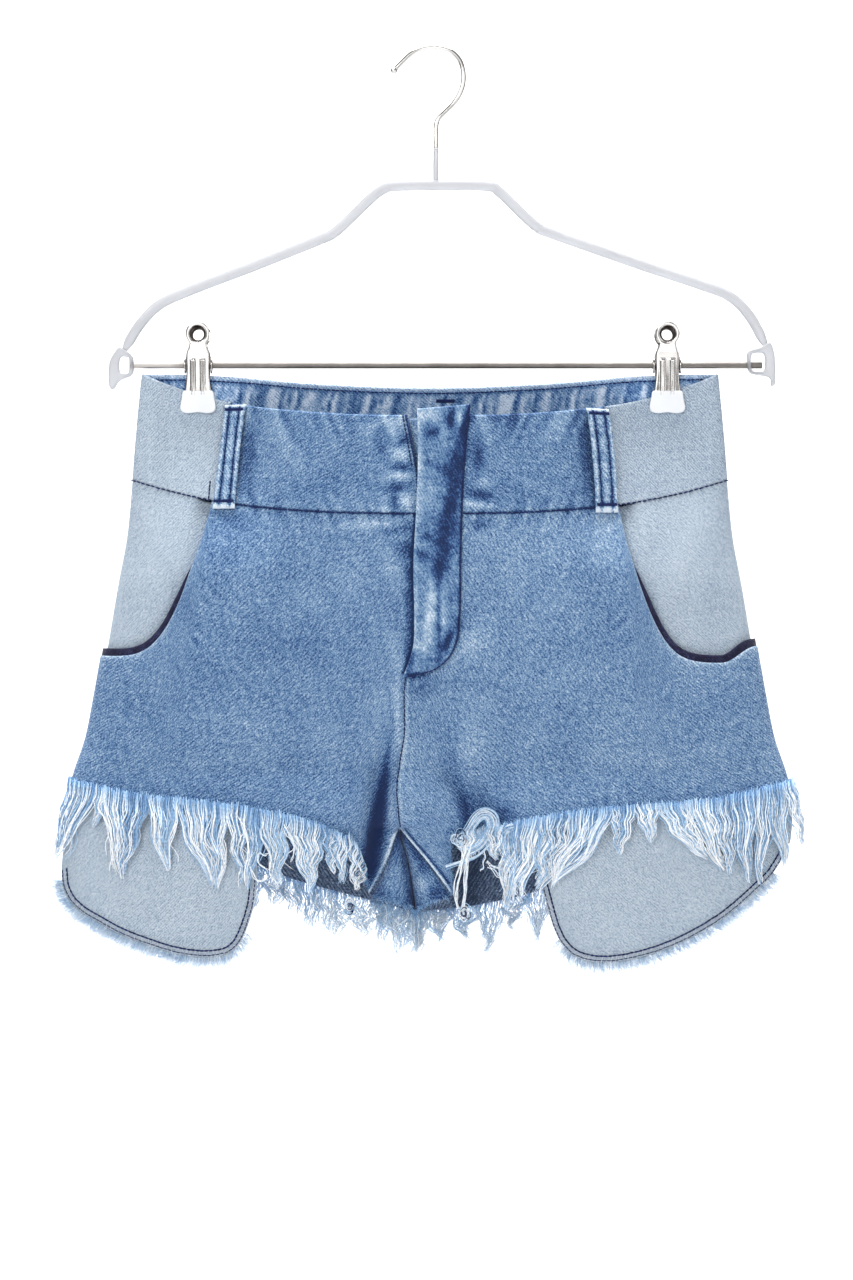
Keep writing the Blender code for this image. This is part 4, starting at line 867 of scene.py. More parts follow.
def makeFront(side):
    start = float(girthOf(scoopStart(side)))
    columns, run = arcGirths(side, 0, 180, cuts["frontStep"],
                             fine=((1, 30, 1.1), (start, start + 9, 0.8), (start + 9, start + 20, 1.5)))
    wanted = np.append(panels["columns"], columns[columns > panels["columnsEnd"]])
    columns, run = wanted, np.interp(wanted, columns, run)
    top = bandZ(side, columns)
    top = np.where(shareOf(columns) > scoopStart(side), np.minimum(top, scoopZ(side, shareOf(columns))), top)
    foot = hemOf(side, columns, frontGirth, frontHemZ)
    z = top - rowsDown(top - foot, cuts["frontStep"])
    girth = frontGirth(side, columns, z)
    scooped = (shareOf(columns) > scoopStart(side)) * np.ones_like(z)
    edgeTone = scooped * (0.20 * fade(top - z, 2.0) + 0.05 * fade(top - z, 9))
    x = xAt(side, shareOf(girth), z)
    seamed = (z < panels["seamTopZ"]) * (z > panels["seamFootZ"])
    if side > 0:
        edgeTone += 0.16 * fade(x - middleX(z) - 2.5, 1.6) * seamed
    else:
        edgeTone += 0.12 * fade(middleX(z) - x - 4.0, 2.2) * seamed
        # painted shadow along the fly's folded edge
        edgeTone -= 0.5 * fade(along(placket, 1, z) - 0.6 - x, 1.2) * (z > panels["flyEndZ"])
    inner = np.abs(x - xAt(side, shareOf(frontGirth(side, 0 * z, z)), z))
    # a pale cord along the inseam below the crotch, and on the left leg a painted shadow line beside it
    inseam = 0.50 * fade(inner - 1.1, 1.0) - 0.50 * fade(inner - 3.3, 1.0) * (side > 0)
    edgeTone = edgeTone + inseam * (z < panels["partZ"])
    name = sideName(side)
    clothPiece(f"front_panel_{name}", f"front_{name}", side, girth, z, pocketRise(side, girth, z),
               shorts["denim"], blueOf(side), "denim", run, hemTone(z - foot) + edgeTone)


def makeBack(side):
    columns, run = arcGirths(side, sideSeam, 360, cuts["backStep"], z=panels["backArcZ"])
    top = bandZ(side, columns) - panels["backTop"]
    foot = hemOf(side, columns, backGirth, backHemZ)
    z = top - rowsDown(top - foot, cuts["backStep"])
    girth = backGirth(side, columns, z)
    seams = 0.14 * fade(run - 2.5, 2.0) + 0.12 * fade(run[-1] - run - 2.5, 2.0) * (z > panels["seatEndZ"])
    # painted shadow along the inseam edge below the crotch
    seams -= 0.35 * fade(run[-1] - run, 1.1) * (z < panels["partZ"])
    name = sideName(side)
    # painted shade on the inner face: darker inside the legs below the seat, darkest inside the left back leg
    # near x 20
    between = fade(xAt(side, shareOf(girth), z) - 20, 8) * (z < panels["shadeZ"]) * (side > 0)
    shade = -0.12 * (z < panels["seatEndZ"]) - 0.42 * between
    clothPiece(f"back_panel_{name}", f"back_{name}", side, girth, z, backRise(girth, z), shorts["denim"],
               ["blueBack", "inside"], "denim", run, hemTone(z - foot) + seams,
               backTone=shade)


def bandRows(side, girth, down):
    return mix(rimZ(side, girth), bandZ(side, girth), down)


bands = {"edgeTop": (-126.0, 103.0), "edgeFoot": (-135.0, 109.0), "edgeZ": (-215, -278), "edgeGap": 0.1,
         "flySlant": 7.0, "flyGap": 4.0, "flyZ": -226, "raised": 0.3, "height": 64.0, "arcZ": -235,
         "cutHeight": 84.0, "cutMore": 20.0, "cutShare": 0.95}


def bandDown():
    return spacing(bands["height"], cuts["bandStep"]) / bands["height"]


def makeFrontBands(side):
    # the blue stretch beside the fly and the pale one at the side, which meet under the belt loop
    name, pick, gap = sideName(side), int(side > 0), bands["edgeGap"]
    corners = ((bands["edgeTop"][pick], bands["edgeZ"][0]), (bands["edgeFoot"][pick], bands["edgeZ"][1]))
    edge = [float(girthOf(shareAt(side, x, z))) for x, z in corners]
    fly = float(girthOf((bands["flySlant"] if side < 0 else bands["flyGap"]) / halfSpan(side, bands["flyZ"])))
    down = bandDown()
    for part, starts, ends, used, slot in (
            ("front", (fly, fly if side > 0 else 0.0), [girth - gap for girth in edge], blueOf(side), "denim"),
            ("side", [girth + gap for girth in edge], (180.0, 180.0),
             ["reverse", "inside"], "denim_reverse")):
        near = ((starts[0] + 1, starts[0] + 16, 0.8),) if part == "front" else ()
        girths, run = arcGirths(side, starts[0], ends[0], cuts["bandStep"], z=bands["arcZ"], fine=near)
        share = (girths - girths[0]) / (girths[-1] - girths[0])
        girth = mix(mix(starts[0], starts[1], down)[:, None], mix(ends[0], ends[1], down)[:, None], share)
        z = bandRows(side, girth, down[:, None])
        tone = 0.10 * fade(z - bandZ(side, girth), 1.6) - 0.065 * (side > 0)
        if part == "front":
            fromFly = share * run[-1] + 0 * z
            toLoop = run[-1] - fromFly
            # the fade towards the band's end under the belt loop is painted shade beside the loop
            if side > 0:
                tone += 0.10 * fade(fromFly, 2.0) - 0.10 * fade(toLoop, 8)
            else:
                tone -= 0.12 * fade(toLoop, 6) + 0.5 * fade(fromFly - 0.7, 0.7) + 0.4 * fade(fromFly - 2.7, 0.6)
        clothPiece(f"band_{part}_{name}", f"waistband_{part}_{name}", side, girth, z, bands["raised"],
                   shorts["band"] + bands["raised"], used, slot, run, tone)


def makeBackBand():
    # one piece round the back; its inside shows above the front rim
    (right, runRight), (left, runLeft) = (
        [part[:-len(edgeSteps)] for part in arcGirths(side, sideSeam, 360, cuts["bandStep"], z=bands["arcZ"])]
        for side in (-1, 1))
    girth = np.concatenate((right, [360.0], left[::-1]))
    side = np.concatenate((np.full(len(right), -1.0), [1.0], np.full(len(left), 1.0)))
    total = runRight[-1] + 2.0
    run = np.concatenate((runRight, [total], 2 * total - runLeft[::-1]))
    down = bandDown()
    girth = np.broadcast_to(girth, (len(down), len(girth)))
    side = np.broadcast_to(side, girth.shape)
    z = bandRows(side, girth, down[:, None])
    rim = rimZ(side, girth) - z
    tone = 0.18 * fade(rim, 1.8) + 0.12 * fade(z - bandZ(side, girth), 1.6)
    points, normals = faceAt(side, girth, z)
    middle = girth >= 359.99
    points[..., 0] = np.where(middle, middleX(z), points[..., 0])
    normals = np.where(middle[..., None], (0.0, 1.0, 0.0), normals)
    streaks = 0.40 * wave(run + 0.25 * rim, 8.6, 2.2) + 0.14 * wave(run - 0.3 * rim, 3.7, 0.7)
    inside = streaks * smooth((rim - 3.5) / 2) - 0.04 + 0.30 * fade(rim, 2.4) - 0.40 * fade(rim - 3.4, 0.9)
    marked, out = creasesAt(points, girth <= 180)
    gathered, raised = puckersAt(side, girth, points)
    points = points + normals * (out + raised)[..., None]
    made = wallFrom("band_back", points, normals, bands["raised"], shorts["band"] + bands["raised"],
                    ["blueBack", "bandInside"], "denim", tone + marked + gathered,
                    weaveFrom(run, z), backTone=inside)
    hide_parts("waistband_back")


def makePocket(side):
    # the pale side panel, which runs on as the bag's back ply, and the bag's front ply over it
    name = sideName(side)
    start = float(sided("bagGirth", side))
    mouth = float(girthOf(scoopStart(side)))
    columns, run = arcGirths(side, start, 180, cuts["bagStep"], fine=((mouth - 1, mouth + 9, 1.0),))
    foot = bagFootZ(side, columns)
    share = shareOf(columns)
    top = bandZ(side, columns)
    z = top - rowsDown(top - foot, cuts["bagStep"])
    girth = np.broadcast_to(columns, z.shape)
    shown = smooth((share - scoopShare(side, z) - 0.02) / 0.05)
    lifted = pocketRise(side, girth, z)
    lift = mix(lifted - shorts["bagSlack"], pocketLift, shown) - pocketLift
    # painted shade on the side panel just inside the front's scoop edge
    shade = -0.20 * fade((share - scoopShare(side, z)) * halfSpan(side, z), 5) * (z > -374) * (z < -280)
    clothPiece(f"side_panel_{name}", f"pocket_back_{name}", side, girth, z, lift, shorts["bagCloth"],
               ["reverse", "blueBack"], "denim_reverse", run, shade)
    top = np.minimum(bandZ(side, columns) - 2, scoopZ(side, share) + shorts["bagPeek"])
    z = top - rowsDown(top - foot, cuts["bagStep"])
    girth = np.broadcast_to(columns, z.shape)
    lift = pocketRise(side, girth, z) - shorts["denim"] - shorts["plyGap"]
    edge = z - foot
    tone = -0.05 * fade(edge - 7, 4) + 0.05 * fade(edge - 2.4, 2.0)
    clothPiece(f"pocket_bag_front_{name}", f"pocket_bag_{name}", side, girth, z, lift, shorts["bagCloth"],
               ["bag", "blueBack"], "denim_reverse", run, tone)
    # the turned edge of the mouth shows under the front's scoop: unfaded navy, darker still as painted shadow
    edgeGirths = arcGirths(side, mouth + 0.4, 179.5, 1.2, fine=((mouth + 0.4, mouth + 9, 0.6),))[0]
    edge = scoopZ(side, shareOf(edgeGirths))
    steep = np.abs(np.gradient(edge) / np.gradient(xAt(side, shareOf(edgeGirths), edge)))
    reach = mix(0.2, 4.6, np.clip((-320 - edge) / 30, 0, 1) ** 0.8) * np.minimum(np.sqrt(1 + steep ** 2), 5)
    z = edge + np.append(np.linspace(1, 0, 4)[:, None] * reach, [0 * edge - 2.0], axis=0)
    girth = np.broadcast_to(edgeGirths, z.shape)
    lift = pocketRise(side, girth, z) - shorts["denim"] * 0.55
    run = np.linspace(0, 120, len(edgeGirths))
    wallFrom(f"scoop_facing_{name}", *faceAt(side, girth, z), lift, 0.5, ["navyEdge"] * 2, "denim",
             np.zeros(girth.shape), weaveFrom(run, z), open=("first", "last", "top", "foot"))


for side in (-1, 1):
    makeFront(side)
    makeBack(side)
    makeFrontBands(side)
    makePocket(side)
makeBackBand()
print("panels, bands and pocket bags made")

# Fly, belt loops

fly = {"top": (-223.0, -220.0), "footZ": -385.5, "width": 31.0, "height": 164.0, "lift": 1.6, "fold": 2.2,
       "shieldX": (-25.0, 10.0), "shieldTop": 2.0, "shieldOut": -2.5, "shieldHeight": 160.0}
loops = {"cloth": 1.5, "out": 0.8, "bow": 2.4, "pastBand": 4.0, "stitchAt": 3.4, "ridgeAt": 5.6,
         "slant": {"right": (-122.3, -129.3), "left": (97.5, 103.5), "back": (5.8, 5.8)}, "tackTop": 2.6,
         "tackFoot": 4.6, "half": (0.6, 1.6, 2.6, 3.3, 3.7, 4.1, 4.7, 5.5, 6.2, 6.7, 7.0)}


def atX(x, z, lift):
    # points and normals of the dressed face by their x, puckers and creases included
    points, normals, _, out = dressed(*placeAtX(x, z), z)
    return points + normals * (lift + out)[..., None], normals


def makePlacket():
    width, height = fly["width"], fly["height"]
    across = spacing(width, 1.4) / width
    down = spacing(height, 1.8)[:, None] / height
    z = mix(mix(fly["top"][0], fly["top"][1], across), fly["footZ"], down)
    x = mix(along(placket, 1, z), along(placket, 2, z), across)
    lift = fly["lift"] + fly["fold"] * (1 - across) ** 2 * smooth((z - fly["footZ"]) / 30)
    side, girth = placeAtX(x, z)
    points, normals = faceAt(side, girth, z)
    tone, out = creasesAt(points, girth <= 180)
    points = points + normals * out[..., None]
    fromFold = across * width
    tone += 0.22 * fade(fromFold, 1.3) + 0.12 * fade(down * height, 1.6) - 0.42 * fade(width - fromFold, 1.3)
    tone = 1.15 * tone + 0.05 * wave(z + 0.6 * x, 13.0, 3.3)
    made = wallFrom("fly_front", points, normals, lift, shorts["denim"],
                    ["fly", "inside"], "denim", tone, weaveFrom(x, z))
    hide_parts("fly_placket")
    top = rimZ(1.0, np.array(10.0)) - fly["shieldTop"]
    z = mix(top, fly["footZ"], spacing(fly["shieldHeight"], 3.0)[:, None] / fly["shieldHeight"])
    width = fly["shieldX"][1] - fly["shieldX"][0]
    across = spacing(width, 2.5) / width
    x = mix(fly["shieldX"][0], fly["shieldX"][1], across) + 0 * z
    z = z + 0 * across
    side, girth = placeAtX(x, z)
    shield = wallFrom("fly_shield_cloth", *faceAt(side, girth, z), fly["shieldOut"], shorts["bagCloth"],
                      blueOf(-1), "denim", 0.1 * fade(x + 14, 3), weaveFrom(x, z))
    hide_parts("fly_shield")


def makeLoop(where):
    back = where == "back"
    side = -1.0 if where == "right" else 1.0
    xTop, xFoot = loops["slant"][where]
    girth = girthOf(shareAt(side, xTop, shorts["sideRimZ"]), back)
    zTop, zFoot = rimZ(side, girth) - 1.0, bandZ(side, girth) - loops["pastBand"]
    length = float(zTop - zFoot)
    inside = np.arange(2.0, length - cuts["clear"], cuts["loopStep"])
    down = np.concatenate((edgeSteps, inside, length - edgeSteps[::-1]))[:, None] / length
    half = np.array(loops["half"])
    offset = np.concatenate((-half[::-1], [0], half))
    z = mix(zTop, zFoot, down) + 0 * offset
    ripple = 0.18 * wave(z, 9.0, 5.0) * np.sign(offset) * (np.abs(offset) > 6)
    x = mix(xTop, xFoot, down) + offset + ripple
    groove = fade(np.abs(offset) - loops["stitchAt"], 1.15)
    ridge = fade(np.abs(offset) - loops["ridgeAt"], 0.9)
    bar = fade((down - loops["tackTop"] / length) * length, 1.0)
    bar = bar + fade((1 - down - loops["tackFoot"] / length) * length, 1.0)
    bowed = loops["bow"] * np.sin(math.pi * np.clip(down, 0, 1)) ** 0.5
    lift = loops["cloth"] + loops["out"] + bowed - 0.42 * groove + 0.25 * ridge - 0.35 * bar
    points, normals = faceAt(*placeAtX(x, z, back), z)
    tone = 0.26 * ridge - 0.38 * groove + 0.10 * fade(offset, 1.4) - 0.35 * bar + 0.10 * wave(z, 7.0, 2.0)
    tone += 0.55 * fade(down * length - 0.4, 1.2) + 0.6 * fade((1 - down) * length - 0.8, 1.6)
    made = wallFrom(f"loop_{where}", points, normals, lift, loops["cloth"],
                    ["loop", "inside"], "denim", tone, weaveFrom(x, z))
    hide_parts(f"belt_loop_{where}")
    return points, normals, lift, offset, down * length


makePlacket()
loopGrids = {where: makeLoop(where) for where in loops["slant"]}
print("fly and belt loops made")


# Sewing


def sweep(name, lines, radii, sides, used, values):
    # round threads along many lines at once: lines is (threads, steps, 3)
    threads, steps = lines.shape[:2]
    tangent = unit(np.gradient(lines, axis=1))
    across = np.zeros_like(lines)
    guess = np.where(np.abs(tangent[:, 0, 1:2]) < 0.9, (0.0, 1.0, 0.0), (1.0, 0.0, 0.0))
    for i in range(steps):
        guess = unit(guess - (guess * tangent[:, i]).sum(-1, keepdims=True) * tangent[:, i])
        across[:, i] = guess
    other = np.cross(tangent, across)
    turn = 2 * math.pi * np.arange(sides) / sides
    ring = across[:, :, None] * np.cos(turn)[:, None] + other[:, :, None] * np.sin(turn)[:, None]
    points = lines[:, :, None] + ring * np.asarray(radii)[..., None, None]
    index = np.arange(threads * steps * sides).reshape(threads, steps, sides)
    after = np.roll(index, -1, axis=2)
    faces = np.stack((index[:, :-1], after[:, :-1], after[:, 1:], index[:, 1:]), -1).reshape(-1, 4).tolist()
    faces += index[:, 0, ::-1].tolist() + index[:, -1].tolist()
    given = {label: np.broadcast_to(value, (threads, steps))[..., None].repeat(sides, -1).ravel()
             for label, value in values.items()}
    return newPiece(name, points.reshape(-1, 3), faces, used, given)


sewing = {"pitch": 2.7, "length": 2.3, "radius": 0.46, "sunk": 0.36,
          "shape": (-0.5, -0.36, -0.12, 0.12, 0.36, 0.5), "rise": (-1.0, 0.1, 0.62, 0.62, 0.1, -1.0),
          "thin": (0.5, 0.9, 1.0, 1.0, 0.9, 0.5), "bartackPitch": 0.45, "bartackReach": 0.95,
          "bartackRadius": 0.27, "bagFromZ": -486, "lockPitch": 1.5, "lockFromZ": -488, "lockRadius": 0.17}


def resample(points, normals, step):
    run = runOf(points)
    at = np.arange(0, run[-1], step)
    spots, ups = (np.stack([np.interp(at, run, part) for part in values.T], -1) for values in (points, normals))
    return spots, unit(ups)


def stitchLines(rows, pitch=sewing["pitch"], length=sewing["length"]):
    # each stitch rises from the cloth, lies on it and dives back in
    shape, height = np.array(sewing["shape"]), np.array(sewing["rise"]) * sewing["sunk"]
    lines = []
    for points, normals in rows:
        spots, ups = resample(points, normals, pitch)
        if len(spots) < 3:
            continue
        for spot, up, way in zip(spots, ups, unit(np.gradient(spots, axis=0))):
            shift = chance.uniform(-0.2, 0.2, 2)
            lines.append(spot + way * ((shape + shift[0] * 0.3) * length)[:, None] + up * height[:, None]
                         + np.cross(way, up) * (shift[1] * 0.5))
    return np.array(lines)


def stitches(name, rows, size=1.0, slot="denim", **kinds):
    lines = stitchLines(rows, **kinds)
    thin = np.array(sewing["thin"]) * sewing["radius"] * size
    tones = chance.uniform(0.0, 0.55, (len(lines), 1))
    ply = np.arange(6)[None] * 1.5 + chance.uniform(0, 6, (len(lines), 1))
    return sweep(name, lines, np.broadcast_to(thin, lines.shape[:2]), 5, ["navyThread"],
                 {"tone": tones, "ply": ply})


def seamRow(side, start, end, drop, lift):
    # a row along the waist seam, drop below the band's foot
    girths = np.linspace(start, end, 240)
    points, normals, _, out = dressed(side, girths, bandZ(side, girths) - drop)
    return points + normals * (lift + out)[:, None], normals


def tackLines(spots, ups, way, reach, height, sunk=0.0):
    # threads laid close together across a line, each arched over it
    across = np.linspace(-1, 1, 5)
    arch = height * (1 - across ** 4) - sunk
    return spots[:, None] + way * (reach * across)[None, :, None] + ups[:, None] * arch[None, :, None]


def makeSewing():
    rows = []
    for side in (-1, 1):
        start = float(girthOf((2.0 if side < 0 else 24.0) / halfSpan(side, -286.0)))
        rows.append(seamRow(side, start, 179, 0.1, 0.35))
        rows.append(seamRow(side, 181, 359.4, 0.1, 0.35))
    stitches("waist_seam_stitches", rows, pitch=3.3, length=2.4)
    # the fly's J seam, on the placket's sewn edge
    z = np.linspace(-221.5, -384.5, 260)
    x = along(placket, 2, z) - 1.0
    points, normals = atX(x, z, fly["lift"] + 0.1)
    foot = np.linspace(-17.5, x[-1], 14)[::-1]
    tail, tailNormals = atX(foot, np.full(14, -384.8), fly["lift"])
    # the middle front seam from the fly to the crotch
    zSeam = np.linspace(-387, -476, 120)
    seamX = middleX(zSeam) + 0.9
    seam, seamNormals = atX(seamX, zSeam, 0.25)
    edge = np.linspace(0, 1, 60)
    ends = [atX(mix(-17.6 - inset, -12.0 - inset, edge), mix(-227.4, -258.0, edge), bands["raised"] + 0.1)
            for inset in (0.6, 2.5)]
    stitches("fly_stitches", [(np.concatenate((points, tail[1:])), np.concatenate((normals, tailNormals[1:]))),
                              (seam, seamNormals)] + ends)
    # the band's joins show a few stitches outside the loops
    edge = edge[:24]
    join = atX(mix(-138.3, -140.3, edge), mix(-266.5, -277.5, edge * 2.565), bands["raised"] + 0.1)
    stitches("band_join_stitches", [join], pitch=2.4, length=2.0)
    # belt loops: two rows each and a bartack at both ends
    rows, tacks = [], []
    for points, normals, lift, offset, down in loopGrids.values():
        surface = points + normals * lift[..., None]
        for shift in (-loops["stitchAt"], loops["stitchAt"]):
            column = int(np.abs(offset - shift).argmin())
            rows.append((surface[4:-6, column] + normals[4:-6, column] * 0.1, normals[4:-6, column]))
        for at in (loops["tackTop"], down[-1, 0] - loops["tackFoot"]):
            row = int(np.abs(down[:, 0] - at).argmin())
            tacks.append((surface[row, 2:-2], normals[row, 2:-2]))
    stitches("loop_stitches", rows, size=0.85, pitch=2.3, length=1.9)
    lines = []
    for points, normals in tacks:
        spots, ups = resample(points, normals, sewing["bartackPitch"])
        way = unit(np.cross(np.gradient(spots, axis=0), ups))[:, None]
        lines.append(tackLines(spots, ups, way, sewing["bartackReach"], 0.34, 0.05))
    # the back loop's tack shows through inside the band
    x = np.linspace(0.5, 11.5, 26)
    z = np.full(len(x), -214.6)
    inside, ups = faceAt(*placeAtX(x, z, True), z)
    lines.append(tackLines(inside - ups * (shorts["band"] + 0.1), -ups, np.array((0, 0, 1.0)), 1.0, 0.3))
    lines = np.concatenate(lines)
    sweep("bartacks", lines, np.full(lines.shape[:2], sewing["bartackRadius"]), 4, ["navyThread"],
          {"tone": chance.uniform(0.1, 0.5, (len(lines), 1)), "ply": np.arange(5.0)[None]})
    # a row below the rim inside the back of the band
    rows = []
    for side in (-1, 1):
        girths = np.linspace(190, 359.5, 200)
        points, normals = faceAt(side, girths, rimZ(side, girths) - 3.4)
        rows.append((points - normals * (shorts["band"] + 0.05), -normals))
        rows.append((points + normals * (bands["raised"] + 0.1), normals))
    stitches("rim_stitches", rows)


makeSewing()


def bagEdge(side, inset, count=420, first=2.0, last=178.0):
    # a line inside the bag's curved edge, as points and normals on its front ply
    start = float(sided("bagGirth", side))
    girths = np.linspace(start + first * 0.2, last, count)
    foot = bagFootZ(side, girths)
    edge = np.stack((xAt(side, shareOf(girths), foot), foot), -1)
    way = unit(np.gradient(edge, axis=0))
    inward = np.stack((-way[:, 1], way[:, 0]), -1)
    inward = inward * np.sign(inward[len(inward) // 2, 1])
    x, z = (edge + inward * inset).T
    girth = girthOf(shareAt(float(side), x, z))
    lift = pocketRise(side, girth, z) - shorts["denim"] - shorts["plyGap"]
    return *faceAt(side, girth, z), lift, inward


def makeBagSewing(side):
    name = sideName(side)
    for label, inset, size in (("outer", 1.1, 0.75), ("inner", 3.9, 1.2)):
        points, normals, lift, _ = bagEdge(side, inset)
        points = points + normals * (lift + 0.08)[:, None]
        keep = points[:, 2] < sewing["bagFromZ"]
        stitches(f"bag_stitches_{label}_{name}", [(points[keep], normals[keep])], size, "denim_reverse",
                 pitch=2.7, length=2.6)
    # overlocking: slanted loops of pale thread between the outer row and the raw edge
    low, normals, lift, _ = bagEdge(side, 0.2, cuts["lineSteps"])
    high, highNormals, highLift, _ = bagEdge(side, 4.0, cuts["lineSteps"])
    keep = low[:, 2] < sewing["lockFromZ"]
    low = (low + normals * (lift + 0.1)[:, None])[keep]
    high = (high + highNormals * (highLift + 0.16)[:, None])[keep]
    run = runOf(low)
    count = int(run[-1] / sewing["lockPitch"])
    at = np.interp(np.linspace(0, run[-1] - 3, count), run, np.arange(len(run)))
    first, second = at.astype(int), np.minimum(at.astype(int) + 6, len(run) - 1)
    share = np.linspace(0, 1, 6)[None, :, None]
    lines = mix(low[first][:, None], high[second][:, None], share)
    lines = lines + normals[keep][first][:, None] * (0.25 * np.sin(np.pi * share))
    sweep(f"overlock_{name}", lines, np.full(lines.shape[:2], sewing["lockRadius"]), 4,
          ["paleThread"],
          {"tone": chance.uniform(0.1, 0.9, (len(lines), 1)), "ply": np.arange(6.0)[None]})


for side in (-1, 1):
    makeBagSewing(side)
print("seams, tacks and bag edges sewn")


# Fringe

fringe = {
    "front": {"apart": 0.31, "radius": 0.31, "steps": 12, "pale": 0.5, "blue": 0.36, "rise": 1.2, "stray": 0.05,
              "tip": 1.8},
    "back": {"apart": 0.50, "radius": 0.25, "steps": 10, "pale": 0.20, "blue": 0.50, "rise": 1.0, "stray": 0.35,
             "tip": 5.5},
    "fuzz": {"count": 1500, "length": (1.2, 3.4), "radius": 0.13},
    "bagFuzz": {"count": 2600, "length": (3.0, 8.2), "radius": 0.11},
}
locks = {  # root from and to, tip x and z, sway, how late the yarns draw together
    -1: ((-226, -204, -230, -498, 1.0, 1.2), (-205, -197, -206, -478, 0.6, 1.0),
         (-202, -186, -191, -505, 1.2, 1.5), (-187, -173, -190, -508, 1.4, 1.4),
         (-175, -155, -163, -503, 1.3, 1.2), (-157, -141, -134, -512, 1.0, 1.5),
         (-142, -125, -131, -514, 1.6, 1.6), (-127, -115, -117, -511, 1.3, 1.3),
         (-116, -104, -113, -515, 1.6, 1.6), (-107, -88, -95, -513, 1.8, 1.2),
         (-90, -67, -76, -516, 1.6, 1.0), (-70, -58, -63, -505, 1.4, 1.2), (-61, -52, -58, -511, 1.2, 1.4),
         (-53, -43, -50, -515, 1.4, 1.6)),
    1: ((14.0, 30, 21, -495, 1.0, 0.8), (26.0, 44, 37, -497, 1.4, 0.7), (42.0, 52, 40.5, -527, 1.8, 0.7),
        (48, 62, 46.5, -522, 1.4, 0.6), (53, 66, 52, -520, 1.3, 0.8), (60, 71, 62, -516, 2.0, 1.0),
        (69, 81, 64.5, -515, 2.2, 1.0), (79, 96, 69, -513, 2.0, 1.1), (91, 107, 73, -510, 1.8, 1.4),
        (105, 120, 110, -493, 1.0, 1.0), (118, 134, 130, -486, 0.9, 1.0), (132, 154, 163, -496, 1.2, 1.4),
        (151, 166, 174, -503, 1.2, 1.5), (165, 180, 178, -506, 1.3, 1.3), (177, 192, 188, -511, 1.3, 1.3),
        (190, 202, 196, -512, 1.2, 1.2), (199, 212, 211, -503, 1.3, 1.4), (208, 220, 222, -491, 0.9, 1.2)),
}


def hemLine(side, face):
    # dense places along a hem: girth, height, x and length so far
    if face == "front":
        first, last, girthAt, hemZ = 5.0 if side > 0 else 16.0, 179.5, frontGirth, frontHemZ
    else:
        first, last, girthAt, hemZ = 180.5, 359.0, backGirth, backHemZ
    columns = np.linspace(first, last, cuts["lineSteps"])
    z = hemOf(side, columns, girthAt, hemZ)
    girth = girthAt(side, columns, z)
    points = form(float(side), girth, z)
    return girth, z, points[:, 0], runOf(points)


def clothFace(side, face, girth, z):
    lift = pocketRise(side, girth, z) if face == "front" else backRise(girth, z)
    return *faceAt(side, girth, z), lift


def backLocks(run, x, z):
    # the back hem's locks follow one another all along it
    rows, at = [], 0.0
    while at < run[-1] - 4:
        width = min(chance.uniform(9, 19), run[-1] - at)
        middle = at + width / 2 + chance.uniform(-3.5, 3.5)
        length = chance.uniform(20, 34)
        rows.append((at - 3.5, at + width + 3.0, np.interp(middle, run, x), np.interp(middle, run, z) - length,
                     chance.uniform(0.7, 1.9), chance.uniform(0.9, 1.6)))
        at += width
    return rows


